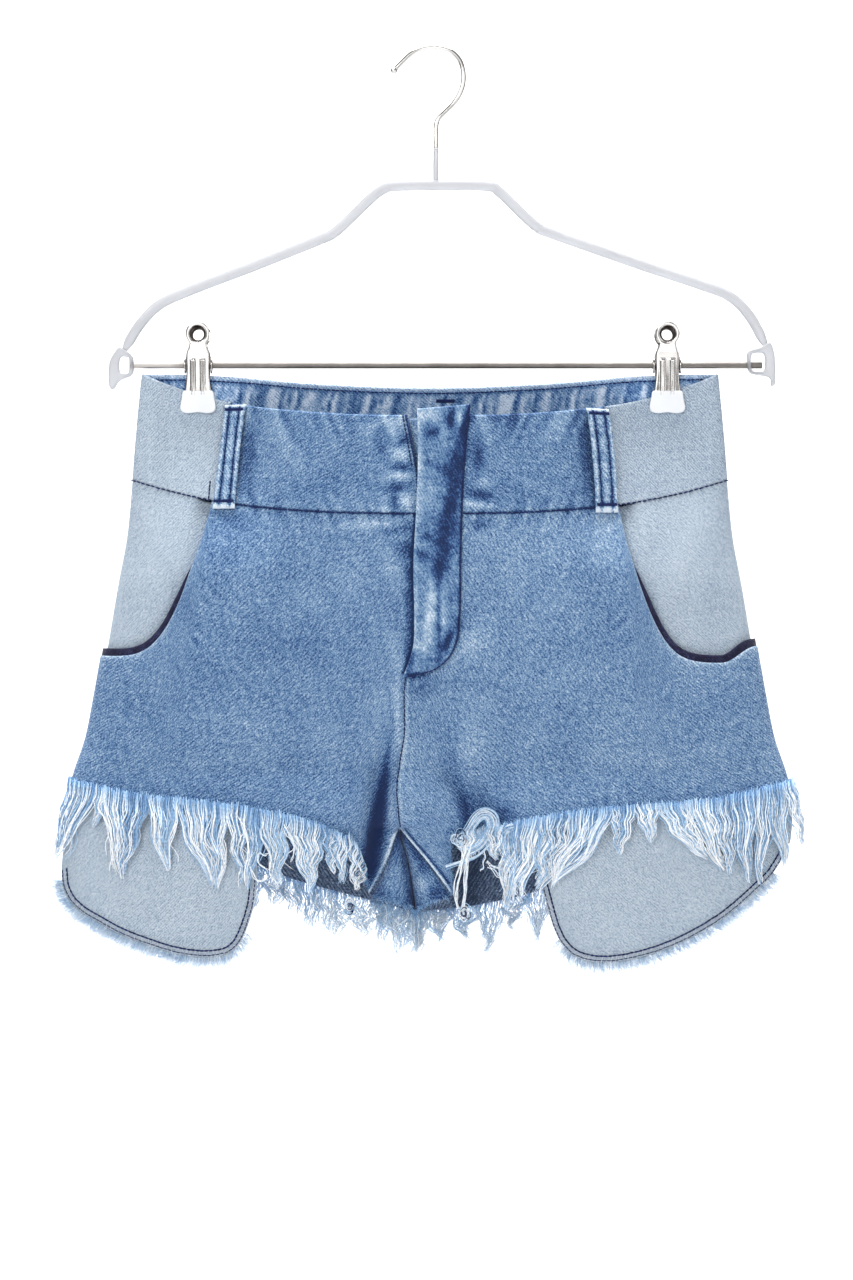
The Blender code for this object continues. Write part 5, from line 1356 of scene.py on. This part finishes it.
def makeFringe(side, face):
    spec, steps = fringe[face], fringe[face]["steps"]
    _, heights, xs, run = hemLine(side, face)
    if face == "front":
        order = np.argsort(xs)
        rows = locks[side]
    else:
        order = np.arange(len(xs))
        rows = backLocks(run, xs, heights)
    keys = (xs if face == "front" else run)[order]
    t = np.linspace(0, 1, steps)
    lines = []
    for start, end, tipX, tipZ, sway, late in rows:
        count = max(5, int((end - start) / spec["apart"]))
        turns, phase = chance.uniform(1.3, 2.7), chance.uniform(0, 6.3)
        bulge, dye = chance.uniform(1.2, 3.4), chance.uniform(-0.08, 0.08)
        for number in range(count):
            across = (number + chance.uniform(-0.7, 0.7)) / count
            key = np.clip(mix(start, end, across), keys[0], keys[-1])
            z0, x0 = (np.interp(key, keys, values[order]) for values in (heights, xs))
            z0 = z0 + spec["rise"] + chance.normal(0, 0.8)
            stray = chance.random() < spec["stray"]
            fall = chance.uniform(0.80, 1.0) ** (2 if stray else 1)
            apart = (across - 0.5) * spec["tip"] + chance.normal(0, 0.4) + stray * chance.normal(0, 3.5)
            drawn = t ** (1 + 0.55 * late)
            x = x0 + (tipX + apart - x0) * drawn
            wavy = sway * np.sin(2 * np.pi * turns * t + phase + chance.normal(0, 0.3))
            own = 0.3 * np.sin(2 * np.pi * chance.uniform(3, 6) * t + chance.uniform(0, 6.3))
            x = x + (wavy * (1 + 1.2 * stray) + own) * np.minimum(1, 3 * t)
            z = z0 + (tipZ - z0) * fall * t
            layer = chance.integers(0, 3)
            belly = np.sin(np.pi * np.minimum(1, 0.12 + 0.95 * t))
            out = 0.15 + 0.5 * layer + bulge * belly * (0.55 + 0.2 * layer)
            white = chance.random() < spec["pale"] + 0.1 * (layer - 1)
            level = (0.86 if white else spec["blue"]) + dye + chance.uniform(-0.1, 0.1)
            level = level - (0.46 if white else 0.20) * np.exp(-t * 7) + 0.16 * t
            radius = spec["radius"] * chance.uniform(0.8, 1.25) * (1 - 0.55 * t ** 3)
            radius = radius * (0.6 + 0.4 * np.minimum(1, 8 * t))
            lines.append((x, z, out, level, radius, t * fall * 40))
    x, z, out, level, radius, ply = (np.array([line[i] for line in lines]) for i in range(6))
    share = shareAt(float(side), x, z)
    beyond = np.maximum(0, share - 1) * halfSpan(float(side), z)
    girth = girthOf(share, face == "back")
    points, normals, lift = clothFace(side, face, girth, z)
    points = points + normals * (lift + out)[..., None]
    points[..., 0] += side * beyond
    name = f"fringe_{face}_{sideName(side)}"
    made = sweep(f"{name}_yarns", points, radius, 4, ["yarn"], {"tone": level, "ply": ply})
    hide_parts(name)


def makeFuzz(side, face):
    # short broken fibres that stand up along the raw edge
    spec = fringe["fuzz"]
    girths, heights, _, run = hemLine(side, face)
    count = spec["count"]
    spot = chance.uniform(0, run[-1], count)
    girth, z = np.interp(spot, run, girths), np.interp(spot, run, heights) + chance.normal(1.0, 0.9, count)
    points, normals, lift = clothFace(side, face, girth, z)
    points = points + normals * lift[:, None]
    length = chance.uniform(*spec["length"], (count, 1, 1))
    t = np.linspace(0, 1, 3)[None, :, None]
    way = np.stack([chance.normal(*drawn, count) for drawn in ((0, 0.8), (0, 0.3), (-0.9, 0.5))], -1)
    way = unit(way)[:, None] + normals[:, None] * 0.4 * (1 - t)
    bend = unit(chance.normal(0, 1, (count, 1, 3)))
    lines = points[:, None] + way * length * t + bend * length * 0.35 * t * t
    radii = spec["radius"] * (1.2 - 0.7 * t[..., 0]) * np.ones((count, 1))
    sweep(f"fuzz_{face}_{sideName(side)}", lines, radii, 3,
          ["yarn"], {"tone": chance.uniform(0.0, 0.45, (count, 1)), "ply": t[..., 0] * 3})


def makeBagFuzz(side):
    spec = fringe["bagFuzz"]
    low, normals, lift, inward = bagEdge(side, 0.3, cuts["lineSteps"], 26.0, 172.0)
    count = spec["count"]
    pick = chance.integers(0, len(low), count)
    pick = pick[low[pick, 2] < -505]
    count = len(pick)
    points = (low + normals * (lift - chance.uniform(0.1, 1.5, len(low)))[:, None])[pick]
    away = np.stack((-inward[pick, 0], np.zeros(count), -inward[pick, 1]), -1)
    length = chance.uniform(*spec["length"], (count, 1, 1))
    t = np.linspace(0, 1, 4)[None, :, None]
    side3 = np.cross(away, normals[pick])[:, None]
    lean = -0.2 * side + chance.normal(0, 0.3, (count, 1, 1))
    lines = points[:, None] + away[:, None] * length * t + side3 * lean * length * t * t
    lines = lines + normals[pick][:, None] * chance.normal(0, 0.16, (count, 1, 1)) * length * t
    radii = spec["radius"] * (1.2 - 0.6 * t[..., 0]) * np.ones((count, 1))
    made = sweep(f"bag_fuzz_{sideName(side)}", lines, radii, 3, ["yarn"],
                 {"tone": chance.uniform(0.34, 0.86, (count, 1)), "ply": t[..., 0] * 4})
    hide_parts(f"pocket_fringe_{sideName(side)}")


def curveThrough(points, perSpan, closed=False):
    points = np.asarray(points, float)
    if closed:
        ring = np.concatenate((points[-1:], points, points[:2]))
    else:
        ring = np.concatenate((points[:1], points, points[-1:]))
    t = (np.arange(perSpan) / perSpan)[:, None]
    parts = []
    for p0, p1, p2, p3 in zip(ring, ring[1:], ring[2:], ring[3:]):
        a, b = (p2 - p0) / 2, (p3 - p1) / 2
        parts.append(p1 * (2 * t**3 - 3 * t**2 + 1) + a * (t**3 - 2 * t**2 + t) + p2 * (3 * t**2 - 2 * t**3)
                     + b * (t**3 - t**2))
    return np.concatenate(parts if closed else parts + [points[-1:]])


# loose bundles at the fork: x, z and how far in front of the cloth, then yarns, width and paleness
bundles = (
    (((21.0, -491.5, 1.5), (17.8, -496.5, 2.0), (14.4, -500, 2.2)), 6, 1.2, 0.4),
    (((6.1, -501.0, 2.6), (14.6, -498.0, 3.2), (25.5, -493.8, 4.2), (34.4, -484.6, 4.6), (37.4, -475.4, 4.4),
      (35.9, -468.6, 4.2), (30.0, -465.6, 3.8), (24.0, -468.6, 3.2), (19.4, -475.0, 2.8), (15.0, -481.9, 2.4),
      (12.4, -485.5, 2.0)), 9, 1.1, 0.75),
    (((19.0, -491.0, 2.6), (26.5, -488.0, 3.4), (31.5, -481.5, 3.8), (33.5, -475.0, 3.8), (31.6, -470.4, 3.6),
      (27.4, -470.0, 3.2), (22.9, -475.0, 2.8), (19.2, -481.5, 2.4), (16.6, -486.5, 2.2), (14.0, -490.0, 1.8)),
     30, 2.7, 0.12),
    (((20.0, -483.5, 2.6), (24.6, -483.0, 3.4), (30.4, -479.5, 3.8), (33.0, -475.0, 3.6)), 12, 1.9, 0.2),
    (((47.0, -475.8, 0.8), (42.6, -477.4, 3.0), (39.6, -483.6, 4.2), (41.6, -492.0, 4.4), (46.0, -501.2, 4.0),
      (45.2, -513.5, 3.6), (42.4, -525.8, 3.0)), 14, 2.3, 0.6),
    (((16.5, -484.0, 2.8), (17.0, -491.0, 3.4), (15.4, -500.0, 3.4), (12.6, -510, 3.2), (12.2, -519, 2.8),
      (13.2, -526.0, 2.2)), 7, 1.4, 0.85),
    (((21.0, -486.0, 2.8), (18.8, -496.0, 3.6), (18.2, -507.0, 3.6), (17.2, -517, 3.2), (16.6, -527.0, 2.6)),
     7, 1.3, 0.85),
    (((29.5, -491.0, 4.8), (29.2, -496.0, 4.6), (28.2, -501.0, 4.2), (26.8, -503.0, 3.8)), 2, 0.3, 0.9),
    (((31.0, -497.0, 3.6), (36, -500.0, 3.2), (42, -502.0, 2.6)), 4, 1.6, 0.6),
    (((32.0, -500.0, 3.0), (38, -506.0, 2.6), (43, -510.0, 2.0)), 3, 1.2, 0.7),
    (((-92.0, -474.5, 3.8), (-87.5, -480.5, 4.6), (-86.0, -487.0, 5.0), (-85.6, -493.0, 5.0),
      (-88.0, -497.0, 4.0)),
     2, 0.4, 0.95),
    (((-107.0, -491.0, 4.0), (-104, -492.5, 4.6), (-100, -491.5, 4.4)), 2, 0.5, 0.95),
    (((-107.5, -492.0, 4.2), (-106.6, -497.0, 4.6), (-103.5, -500.5, 4.4), (-101.0, -502.0, 4.0)),
     2, 0.5, 0.95),
    (((-112.5, -500.0, 3.2), (-110.0, -506.0, 3.8), (-106.0, -508.5, 3.8), (-102.0, -507.0, 3.4)),
     3, 0.6, 0.95),
)
knots = ((-53.0, -524.0, 3.2, 16), (17.0, -528.5, 4.0, 20), (14.8, -484.5, 3.4, 16), (-48.0, -505.5, 2.2, 6))


def frontPoints(x, z, out):
    # points in front of the cloth there, at the middle as deep as beside it
    side = sideAt(x, z)
    away = np.maximum(np.abs(x - middleX(z)), 4.0)
    points, normals = faceAt(side, girthOf(shareAt(side, middleX(z) + side * away, z)), z)
    return np.stack((x, (points + normals * out[..., None])[..., 1], z), -1)


def makeBundles():
    for number, (path, count, width, pale) in enumerate(bundles):
        path = curveThrough(path, 6)
        steps = len(path)
        t = np.linspace(0, 1, steps)
        way = unit(np.gradient(path, axis=0))
        across = np.stack((-way[:, 1], way[:, 0]), -1)
        shift = chance.uniform(-1, 1, (count, 1)) * width
        rounds = chance.uniform(1, 3, (count, 1))
        wander = 0.5 * np.sin(2 * np.pi * rounds * t + chance.uniform(0, 6.3, (count, 1)))
        offset = (shift * (1 - 0.45 * t ** 3) + wander)[..., None]
        flat = path[None, :, :2] + across[None] * offset
        out = path[None, :, 2] + chance.uniform(-0.7, 0.9, (count, 1)) * min(1.0, width)
        points = frontPoints(flat[..., 0], flat[..., 1], out)
        radius = 0.25 * chance.uniform(0.8, 1.2, (count, 1)) * (1 - 0.4 * t ** 4)
        tone = np.where(chance.random((count, 1)) < pale, 0.86, 0.5)
        tone = tone + chance.uniform(-0.1, 0.1, (count, 1)) + 0 * t
        sweep(f"loose_bundle_{number}", points, radius, 5, ["yarn"],
              {"tone": tone, "ply": t * steps + 0 * tone})
    for number, (x, z, reach, count) in enumerate(knots):
        t = np.linspace(0, 1, 18)
        start, turns = chance.uniform(0, 6.3, (count, 1)), chance.uniform(0.7, 1.5, (count, 1))
        size = reach * chance.uniform(0.35, 1.0, (count, 1))
        turn = start + 2 * np.pi * turns * t
        dx = size * np.cos(turn) * (1 - 0.4 * t) + chance.normal(0, 0.35 * reach, (count, 1))
        dz = 1.25 * size * np.sin(turn) * (1 - 0.3 * t) + chance.normal(0, 0.5 * reach, (count, 1))
        out = 2.0 + 1.4 * np.sin(turn * 1.3) + chance.uniform(-0.5, 1.0, (count, 1))
        points = frontPoints(x + dx, z + dz, out)
        tone = chance.uniform(0.35, 1.0, (count, 1)) + 0 * t
        sweep(f"knot_{number}", points, np.full(points.shape[:2], 0.3), 5, ["yarn"],
              {"tone": tone, "ply": t * 20 + 0 * tone})
        dark = points[: max(2, count // 5)] + np.array((0.3, -0.6, -0.3))
        sweep(f"knot_thread_{number}", dark, np.full(dark.shape[:2], 0.26), 4, ["navyThread"],
              {"tone": 0.2, "ply": 0.0})


for side in (-1, 1):
    for face in ("front", "back"):
        makeFringe(side, face)
        makeFuzz(side, face)
    makeBagFuzz(side)
makeBundles()
print("fringe made")


# Hanger and clips

hook = np.array(((-24.6, -11.7), (-20.2, -7.2), (-14.5, -2.2), (-7.7, 0.7), (0, 1.55), (8.3, -0.6),
                 (14.1, -5.8), (16.6, -12.6), (16.8, -20.0), (14.8, -26.8), (11.1, -32.9), (5.8, -38.3),
                 (1.3, -43.0), (0, -48.5), (0, -60.0), (0, -80.4)))
shoulders = np.array(((-191.3, -184.5), (-182.0, -169.1), (-169.7, -156.8), (-151.3, -148.2),
                      (-114.4, -134.1), (-71.3, -116.9), (-63.3, -113.2), (-56.0, -107.0), (-39.4, -91.0),
                      (-32.6, -86.1), (-25.2, -84.0), (0.6, -83.6), (31.4, -84.0), (39.4, -87.9),
                      (54.7, -102.7), (63.0, -109.7), (71.3, -113.2), (125.5, -132.2), (162.4, -144.5),
                      (180.8, -151.9), (193.1, -164.2), (202.3, -181.4)))
endFrames = {"right": ((-194.2, -183.2), (-198.0, -187.0), (-200.6, -192.5), (-201.2, -199.0),
                       (-201.0, -205.9), (-199.7, -208.9), (-197.7, -208.5), (-195.7, -205.2),
                       (-193.7, -203.3), (-187.7, -200.6), (-185.9, -197.5), (-185.9, -190.9),
                       (-187.0, -188.0), (-188.8, -186.4)),
             "left": ((205.2, -180.2), (207.7, -186.3), (208.4, -192.0), (208.6, -203.8), (207.7, -206.6),
                      (206.0, -206.2), (204.8, -201.6), (195.1, -199.6), (192.2, -197.6), (191.2, -191.0),
                      (191.2, -187.5), (193.0, -185.2), (199.6, -183.2))}
endWindows = {"right": (-194.6, -188.4, -199.4, -188.8), "left": (193.6, 202.4, -198.2, -186.4)}
hanger = {"wire": 1.55, "ball": 2.2, "coatFrom": -61.5, "coat": 1.7, "shoulder": 3.2, "bar": 2.0,
          "barZ": -194.2, "barStart": -188.0,
          "barAt": (0, 0.1, 0.4, 3, 24, 38, 60, 200, 300, 385, 388.2, 388.5, 388.6),
          "barThin": (0.7, 0.85, 1, 1, 1, 1, 1, 1, 1, 1, 1, 0.85, 0.7), "plate": 3.0, "plateRound": 1.1,
          "ballAt": (3.9, 3.8, 3.5, 3.0, 2.3, 1.6, 0.9, 0.4, 0.1), "ballMiddle": 1.75,
          "ballNeck": (1.62, 1.56)}
clips = {"x": {"right": -146.0, "left": 142.0}, "ringZ": -175.4, "ring": 6.9, "ringSpan": 4.8,
         "sheet": 1.0, "steadyZ": -181.5, "ribAt": 3.0, "ribHalf": 1.75, "ribOut": 0.75, "ribTop": -190.4,
         "curl": 1.7, "padDepth": 2.4, "padIn": 2.4, "springR": 3.0, "springHalf": 6.0, "springTurns": 8,
         "springWire": 0.42, "earAt": 8.1, "earY": 3.9, "earZ": 4.6, "earWire": 0.55,
         "curlSteps": (0.55, 0.12),
         "shares": (1, 0.995, 0.97, 0.9, 0.82, 0.76, 0.7, 0.66, 0.62, 0.56, 0.5, 0.46, 0.43, 0.4, 0.34,
                    0.29, 0.24, 0.2, 0.17, 0.12, 0.06),
         "rim": ((3.5, 5.0), (3.8, 4.2), (4.2, 3.2), (4.6, 2.2), (4.95, 1.1), (5.0, 0.5), (5.15, 0.14),
                 (5.4, 0.0), (6.6, 0.0), (7.1, 0.12), (7.34, 0.5)), "rimEnd": 7.4}
clipLeaf = np.array((  # height, half width, stand-out from the middle
    (-166.0, 0.0, 9.6), (-181.5, 4.8, 6.6), (-184.5, 5.6, 6.0), (-188.0, 7.0, 5.5), (-198.0, 7.0, 4.2),
    (-204.0, 7.3, 3.6), (-209.9, 8.0, 3.1), (-212.5, 8.2, 3.1)))
padOutline = ((8.9, -210.3), (9.9, -214.5), (10.7, -218.4), (10.9, -220.6), (10.2, -222.4), (8.2, -223.6),
              (5.0, -223.9), (0, -223.3), (-5.0, -223.9), (-8.2, -223.6), (-10.2, -222.4), (-10.9, -220.6),
              (-10.7, -218.4), (-9.9, -214.5), (-8.9, -210.3), (-4.0, -210.0), (4.0, -210.0))


def flatToSpace(points, y=0.0):
    points = np.asarray(points, float)
    return np.stack((points[:, 0], np.full(len(points), y), points[:, 1]), -1)


def wire(name, points, radii, used, node=None, sides=20):
    made = sweep(name, points[None], np.broadcast_to(radii, (1, len(points))), sides, [used], {})
    if node:
        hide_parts(node)


def softPlate(name, outline, yMiddle, half, rim, used, node):
    # a slab with a rounded rim round a closed outline of x and z
    outline = np.asarray(outline)
    way = unit(np.roll(outline, -1, 0) - np.roll(outline, 1, 0))
    inward = np.stack((-way[:, 1], way[:, 0]), -1)
    doubled = (outline[:, 0] * np.roll(outline[:, 1], -1) - np.roll(outline[:, 0], -1) * outline[:, 1]).sum()
    inward *= np.sign(doubled)
    rings = []
    for turn in np.linspace(-math.pi / 2, math.pi / 2, 13):
        inset = rim * (1 - math.cos(turn))
        y = math.sin(turn) * rim + math.copysign(half - rim, turn) if abs(turn) > 0.01 else 0.0
        rings.append(flatToSpace(outline + inward * inset, yMiddle + y))
    count = len(outline)
    points = np.concatenate(rings)
    index = np.arange(len(points)).reshape(len(rings), count)
    after = np.roll(index, -1, 1)
    faces = np.stack((index[:-1], after[:-1], after[1:], index[1:]), -1).reshape(-1, 4).tolist()
    if doubled > 0:
        faces = [face[::-1] for face in faces]
    caps = [index[0].tolist(), index[-1, ::-1].tolist()]
    faces += caps if doubled > 0 else [cap[::-1] for cap in caps]
    made = newPiece(name, points, faces, [used])
    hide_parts(node)


def makeEnd(side):
    # a moulded frame with a window, rounded on all its rims
    curve = bpy.data.curves.new(f"end_{side}", "CURVE")
    curve.dimensions, curve.fill_mode = "2D", "BOTH"
    bevel = hanger["plateRound"]
    curve.bevel_depth, curve.bevel_resolution, curve.offset = bevel * mm, 3, -bevel * mm
    curve.extrude = (hanger["plate"] - bevel) * mm
    x0, x1, z0, z1 = endWindows[side]
    middle, half = np.array(((x0 + x1) / 2, (z0 + z1) / 2)), np.array(((x1 - x0) / 2, (z1 - z0) / 2))
    turn = np.linspace(0, 2 * math.pi, 33)[:-1]
    circle = np.stack((np.cos(turn), np.sin(turn)), -1)
    window = np.sign(circle) * np.abs(circle) ** 0.55 * half + middle
    for loop in (curveThrough(endFrames[side], 5, closed=True), window):
        spline = curve.splines.new("POLY")
        spline.points.add(len(loop) - 1)
        for point, (x, z) in zip(spline.points, loop):
            point.co = (x * mm, z * mm, 0, 1)
        spline.use_cyclic_u = True
    shaped = bpy.data.objects.new(f"end_{side}_curve", curve)
    bpy.context.scene.collection.objects.link(shaped)
    mesh = bpy.data.meshes.new_from_object(shaped.evaluated_get(bpy.context.evaluated_depsgraph_get()))
    points = np.empty(3 * len(mesh.vertices))
    mesh.vertices.foreach_get("co", points)
    points = points.reshape(-1, 3)[:, (0, 2, 1)] / mm
    faces = [list(face.vertices)[::-1] for face in mesh.polygons]
    bpy.data.objects.remove(shaped)
    made = newPiece(f"end_frame_{side}", points, faces, ["coated"])
    made.data.set_sharp_from_angle(angle=math.radians(40))
    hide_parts(f"hanger_end_{side}")


def makeHanger():
    path = curveThrough(hook, 12)
    bare, coated = path[path[:, 1] > hanger["coatFrom"]], path[path[:, 1] <= hanger["coatFrom"] + 0.8]
    start = unit(path[0] - path[1])
    reach = np.array(hanger["ballAt"])
    swell = np.sqrt(np.maximum(0.02, hanger["ball"]**2 - (reach[:-2] - hanger["ballMiddle"])**2))
    swell = np.append(swell, hanger["ballNeck"])
    points = np.concatenate((path[0] + start * reach[:, None], bare))
    radii = np.append(swell, np.full(len(bare), hanger["wire"]))
    wire("hook", flatToSpace(points), radii, "steel", "hanger_hook")
    sleeve = np.full(len(coated), hanger["coat"])
    sleeve[:2] = (hanger["wire"] + 0.02, hanger["coat"] - 0.05)
    wire("hook_sleeve", flatToSpace(coated), sleeve, "coated")
    path = flatToSpace(curveThrough(shoulders, 10))
    ends = np.minimum(np.arange(len(path)), np.arange(len(path))[::-1])
    wire("shoulders", path, hanger["shoulder"] * np.minimum(1, 0.55 + 0.11 * ends), "coated",
         "hanger_shoulders", sides=28)
    x = np.array(hanger["barAt"]) + hanger["barStart"]
    bar = np.stack((x, 0 * x, 0 * x + hanger["barZ"]), -1)
    thin = np.array(hanger["barThin"]) * hanger["bar"]
    # the bar's left end is painted lighter: a painted reflection of the light
    made = sweep("bar", bar[None], thin[None], 32, ["barSteel"],
                 {"bright": 0.4 * smooth((-150 - x) / 14)[None]})
    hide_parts("hanger_bar")
    for side in ("right", "left"):
        makeEnd(side)


def leafShape(across, z):
    # how far the pressed sheet stands out, with its two ribs
    out = along(clipLeaf, 2, z) + clips["sheet"]
    rib = smooth((clips["ribHalf"] - np.abs(np.abs(across) - clips["ribAt"])) / 0.75)
    groove = fade(np.abs(np.abs(across) - clips["ribAt"]), 0.35) * 0.28
    return out + (rib - groove * rib) * clips["ribOut"] * smooth((clips["ribTop"] - z) / 1.2)


def makeLeaf(side, face, sign):
    x = clips["x"][side]
    half = np.array(clips["shares"])
    share = np.concatenate((-half, [0], half[::-1]))
    curlDepth = np.zeros(len(share))
    curlDepth[:3] = clips["curl"], *clips["curlSteps"]
    curlDepth[-3:] = curlDepth[2::-1]
    down = np.linspace(0, 1, 64)[:, None]
    across = share * along(clipLeaf, 1, mix(clips["steadyZ"], clipLeaf[-1, 0], down))
    arc = clips["ringZ"] - np.sqrt(clips["ring"]**2 - (share * clips["ringSpan"])**2)
    z = arc + (clipLeaf[-1, 0] - arc) * down
    y = sign * (leafShape(across, z) - curlDepth * np.minimum(1, 0.35 + 8 * down))
    points = np.stack((x + across, y, z), -1).reshape(-1, 3)
    faces = gridFaces(*across.shape)
    if sign > 0:
        faces = faces[:, ::-1]
    turns = np.linspace(0, 2 * math.pi, 73)[:-1]
    profile = np.array((*clips["rim"], (clips["rimEnd"], clips["curl"])))
    joined = smooth((-np.sin(turns) - 0.62) / 0.12)[:, None]
    radius, depth = profile[:, 0][None], profile[:, 1][None] * (1 - joined * (profile[:, 0] > 6))
    ringX, ringZ = radius * np.cos(turns)[:, None], clips["ringZ"] + radius * np.sin(turns)[:, None]
    ringY = sign * (along(clipLeaf, 2, ringZ) + clips["sheet"] - depth)
    ring = np.stack((x + ringX, ringY, ringZ), -1)
    index = np.arange(ring.shape[0] * ring.shape[1]).reshape(ring.shape[:2]) + len(points)
    after = np.roll(index, -1, 0)
    ringFaces = np.stack((index[:, :-1], index[:, 1:], after[:, 1:], after[:, :-1]), -1).reshape(-1, 4)
    if sign > 0:
        ringFaces = ringFaces[:, ::-1]
    # the ring's inner wall and outer lip, and the leaf's curled edges below, take the shaded steel: painted
    # shade
    inner = np.tile([1] * 5 + [0] * 5 + [1], len(turns))
    flat = np.zeros((len(down) - 1, len(share) - 1))
    flat[:, [0, 1, -2, -1]] = 1
    made = newPiece(f"clip_leaf_{side}_{face}", np.concatenate((points, ring.reshape(-1, 3))),
                    np.concatenate((faces, ringFaces)), ["steel", "darkSteel"],
                    index=np.concatenate((flat.ravel(), inner)))
    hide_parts(f"clip_{side}_{face}")
    outline = curveThrough(padOutline, 6, closed=True) + np.array((x, 0))
    softPlate(f"clip_pad_{side}_{face}", outline, sign * (clips["padIn"] + clips["padDepth"] / 2),
              clips["padDepth"] / 2, 0.8, "pad", f"clip_{side}_{face}_pad")


def makeClip(side):
    x = clips["x"][side]
    for face, sign in (("front", -1), ("rear", 1)):
        makeLeaf(side, face, sign)
    rounds = clips["springTurns"]
    turn = np.linspace(0, 2 * math.pi * rounds, rounds * 20)
    coil = np.stack((x + np.linspace(-clips["springHalf"], clips["springHalf"], len(turn)),
                     clips["springR"] * np.sin(turn), hanger["barZ"] + clips["springR"] * np.cos(turn)), -1)
    wire(f"clip_spring_{side}", coil, clips["springWire"], "steel", f"clip_{side}_spring",
         sides=8)
    for shift in (-1, 1):
        # folded ears that the bar runs through
        turn = np.linspace(0, 2 * math.pi, 41)
        shape = np.stack((x + 0 * turn + shift * clips["earAt"], clips["earY"] * np.sin(turn),
                          hanger["barZ"] + clips["earZ"] * np.cos(turn)), -1)
        wire(f"clip_ear_{side}_{'in' if shift * x < 0 else 'out'}", shape, clips["earWire"], "steel",
             sides=8)


makeHanger()
for side in clips["x"]:
    makeClip(side)
print("hanger and clips made")


# Camera, light and floor

studio = {"aim": (-5.8, -363.0), "away": 2000.0, "lens": 91.5, "sensor": 36.0, "world": 0.345,
          "worldTint": (243, 243, 245), "pale": (246, 247, 249), "floorZ": -1750.0, "floorNearY": -8000,
          "floorHalf": 9000, "wallY": 3300.0, "wallHigh": 10000, "bend": 600}
lights = {  # place, aim, width across and power
    "keyLight": ((-900, -1500, 500), (0, 0, -380), 900, 16.1),
    "fillLight": ((1100, -1300, 0), (0, 0, -380), 1100, 5.35),
    "topLight": ((0, -200, 1100), (0, 0, -300), 900, 4),
    "lowLight": ((-60, -2100, -860), (0, 0, -250), 1000, 4.0),
    "backdropLight": ((0, 660, 3736), (0, 3300, -444), 3520, 520),
    "frontCard": ((-520, -2600, 300), (0, 0, -260), 2000, 12.5),
}


def show(name, data):
    shown = bpy.data.objects.new(name, data)
    bpy.context.scene.collection.objects.link(shown)
    return shown


def makeStudio():
    data = bpy.data.cameras.new("camera")
    data.lens, data.sensor_width = studio["lens"], studio["sensor"]
    camera = show("camera", data)
    camera.location = Vector((studio["aim"][0], -studio["away"], studio["aim"][1])) * mm
    camera.rotation_euler = (math.pi / 2, 0, 0)
    bpy.context.scene.camera = camera
    world = bpy.data.worlds.new("studio")
    world.use_nodes = True
    back = world.node_tree.nodes["Background"]
    back.inputs["Color"].default_value = srgb(*studio["worldTint"])
    back.inputs["Strength"].default_value = studio["world"]
    bpy.context.scene.world = world
    for name, (spot, aim, size, power) in lights.items():
        lamp = bpy.data.lights.new(name, "AREA")
        lamp.shape, lamp.size, lamp.energy = "DISK", size * mm, power
        light = show(name, lamp)
        light.visible_camera = False
        light.location = Vector(spot) * mm
        light.rotation_euler = (Vector(aim) - Vector(spot)).to_track_quat("-Z", "Y").to_euler()
        if name == "frontCard":
            # a wide card behind the camera, seen only as a reflection in the metal
            light.visible_diffuse = light.visible_transmission = False
    material, _, shader = newMaterial("paleFloor")
    shader.inputs["Base Color"].default_value = srgb(*studio["pale"])
    shader.inputs["Roughness"].default_value = 0.9
    wallY, bend, wide = studio["wallY"], studio["bend"], studio["floorHalf"]
    profile = [(studio["floorNearY"], 0), (wallY - bend, 0)]
    profile += [(wallY - bend + bend * math.sin(turn), bend - bend * math.cos(turn))
                for turn in np.linspace(0.1, math.pi / 2, 12)]
    profile.append((wallY, studio["wallHigh"]))
    points = [(x, y, studio["floorZ"] + z) for y, z in profile for x in (-wide, wide)]
    faces = [(2 * i, 2 * i + 1, 2 * i + 3, 2 * i + 2) for i in range(len(profile) - 1)]
    mesh = bpy.data.meshes.new("floor")
    mesh.from_pydata([Vector(point) * mm for point in points], [], faces)
    mesh.materials.append(material)
    mesh.polygons.foreach_set("use_smooth", np.ones(len(faces), bool))
    floor = show("floor", mesh)
    bpy.context.scene.view_settings.view_transform = "Standard"


makeStudio()
print("studio ready")
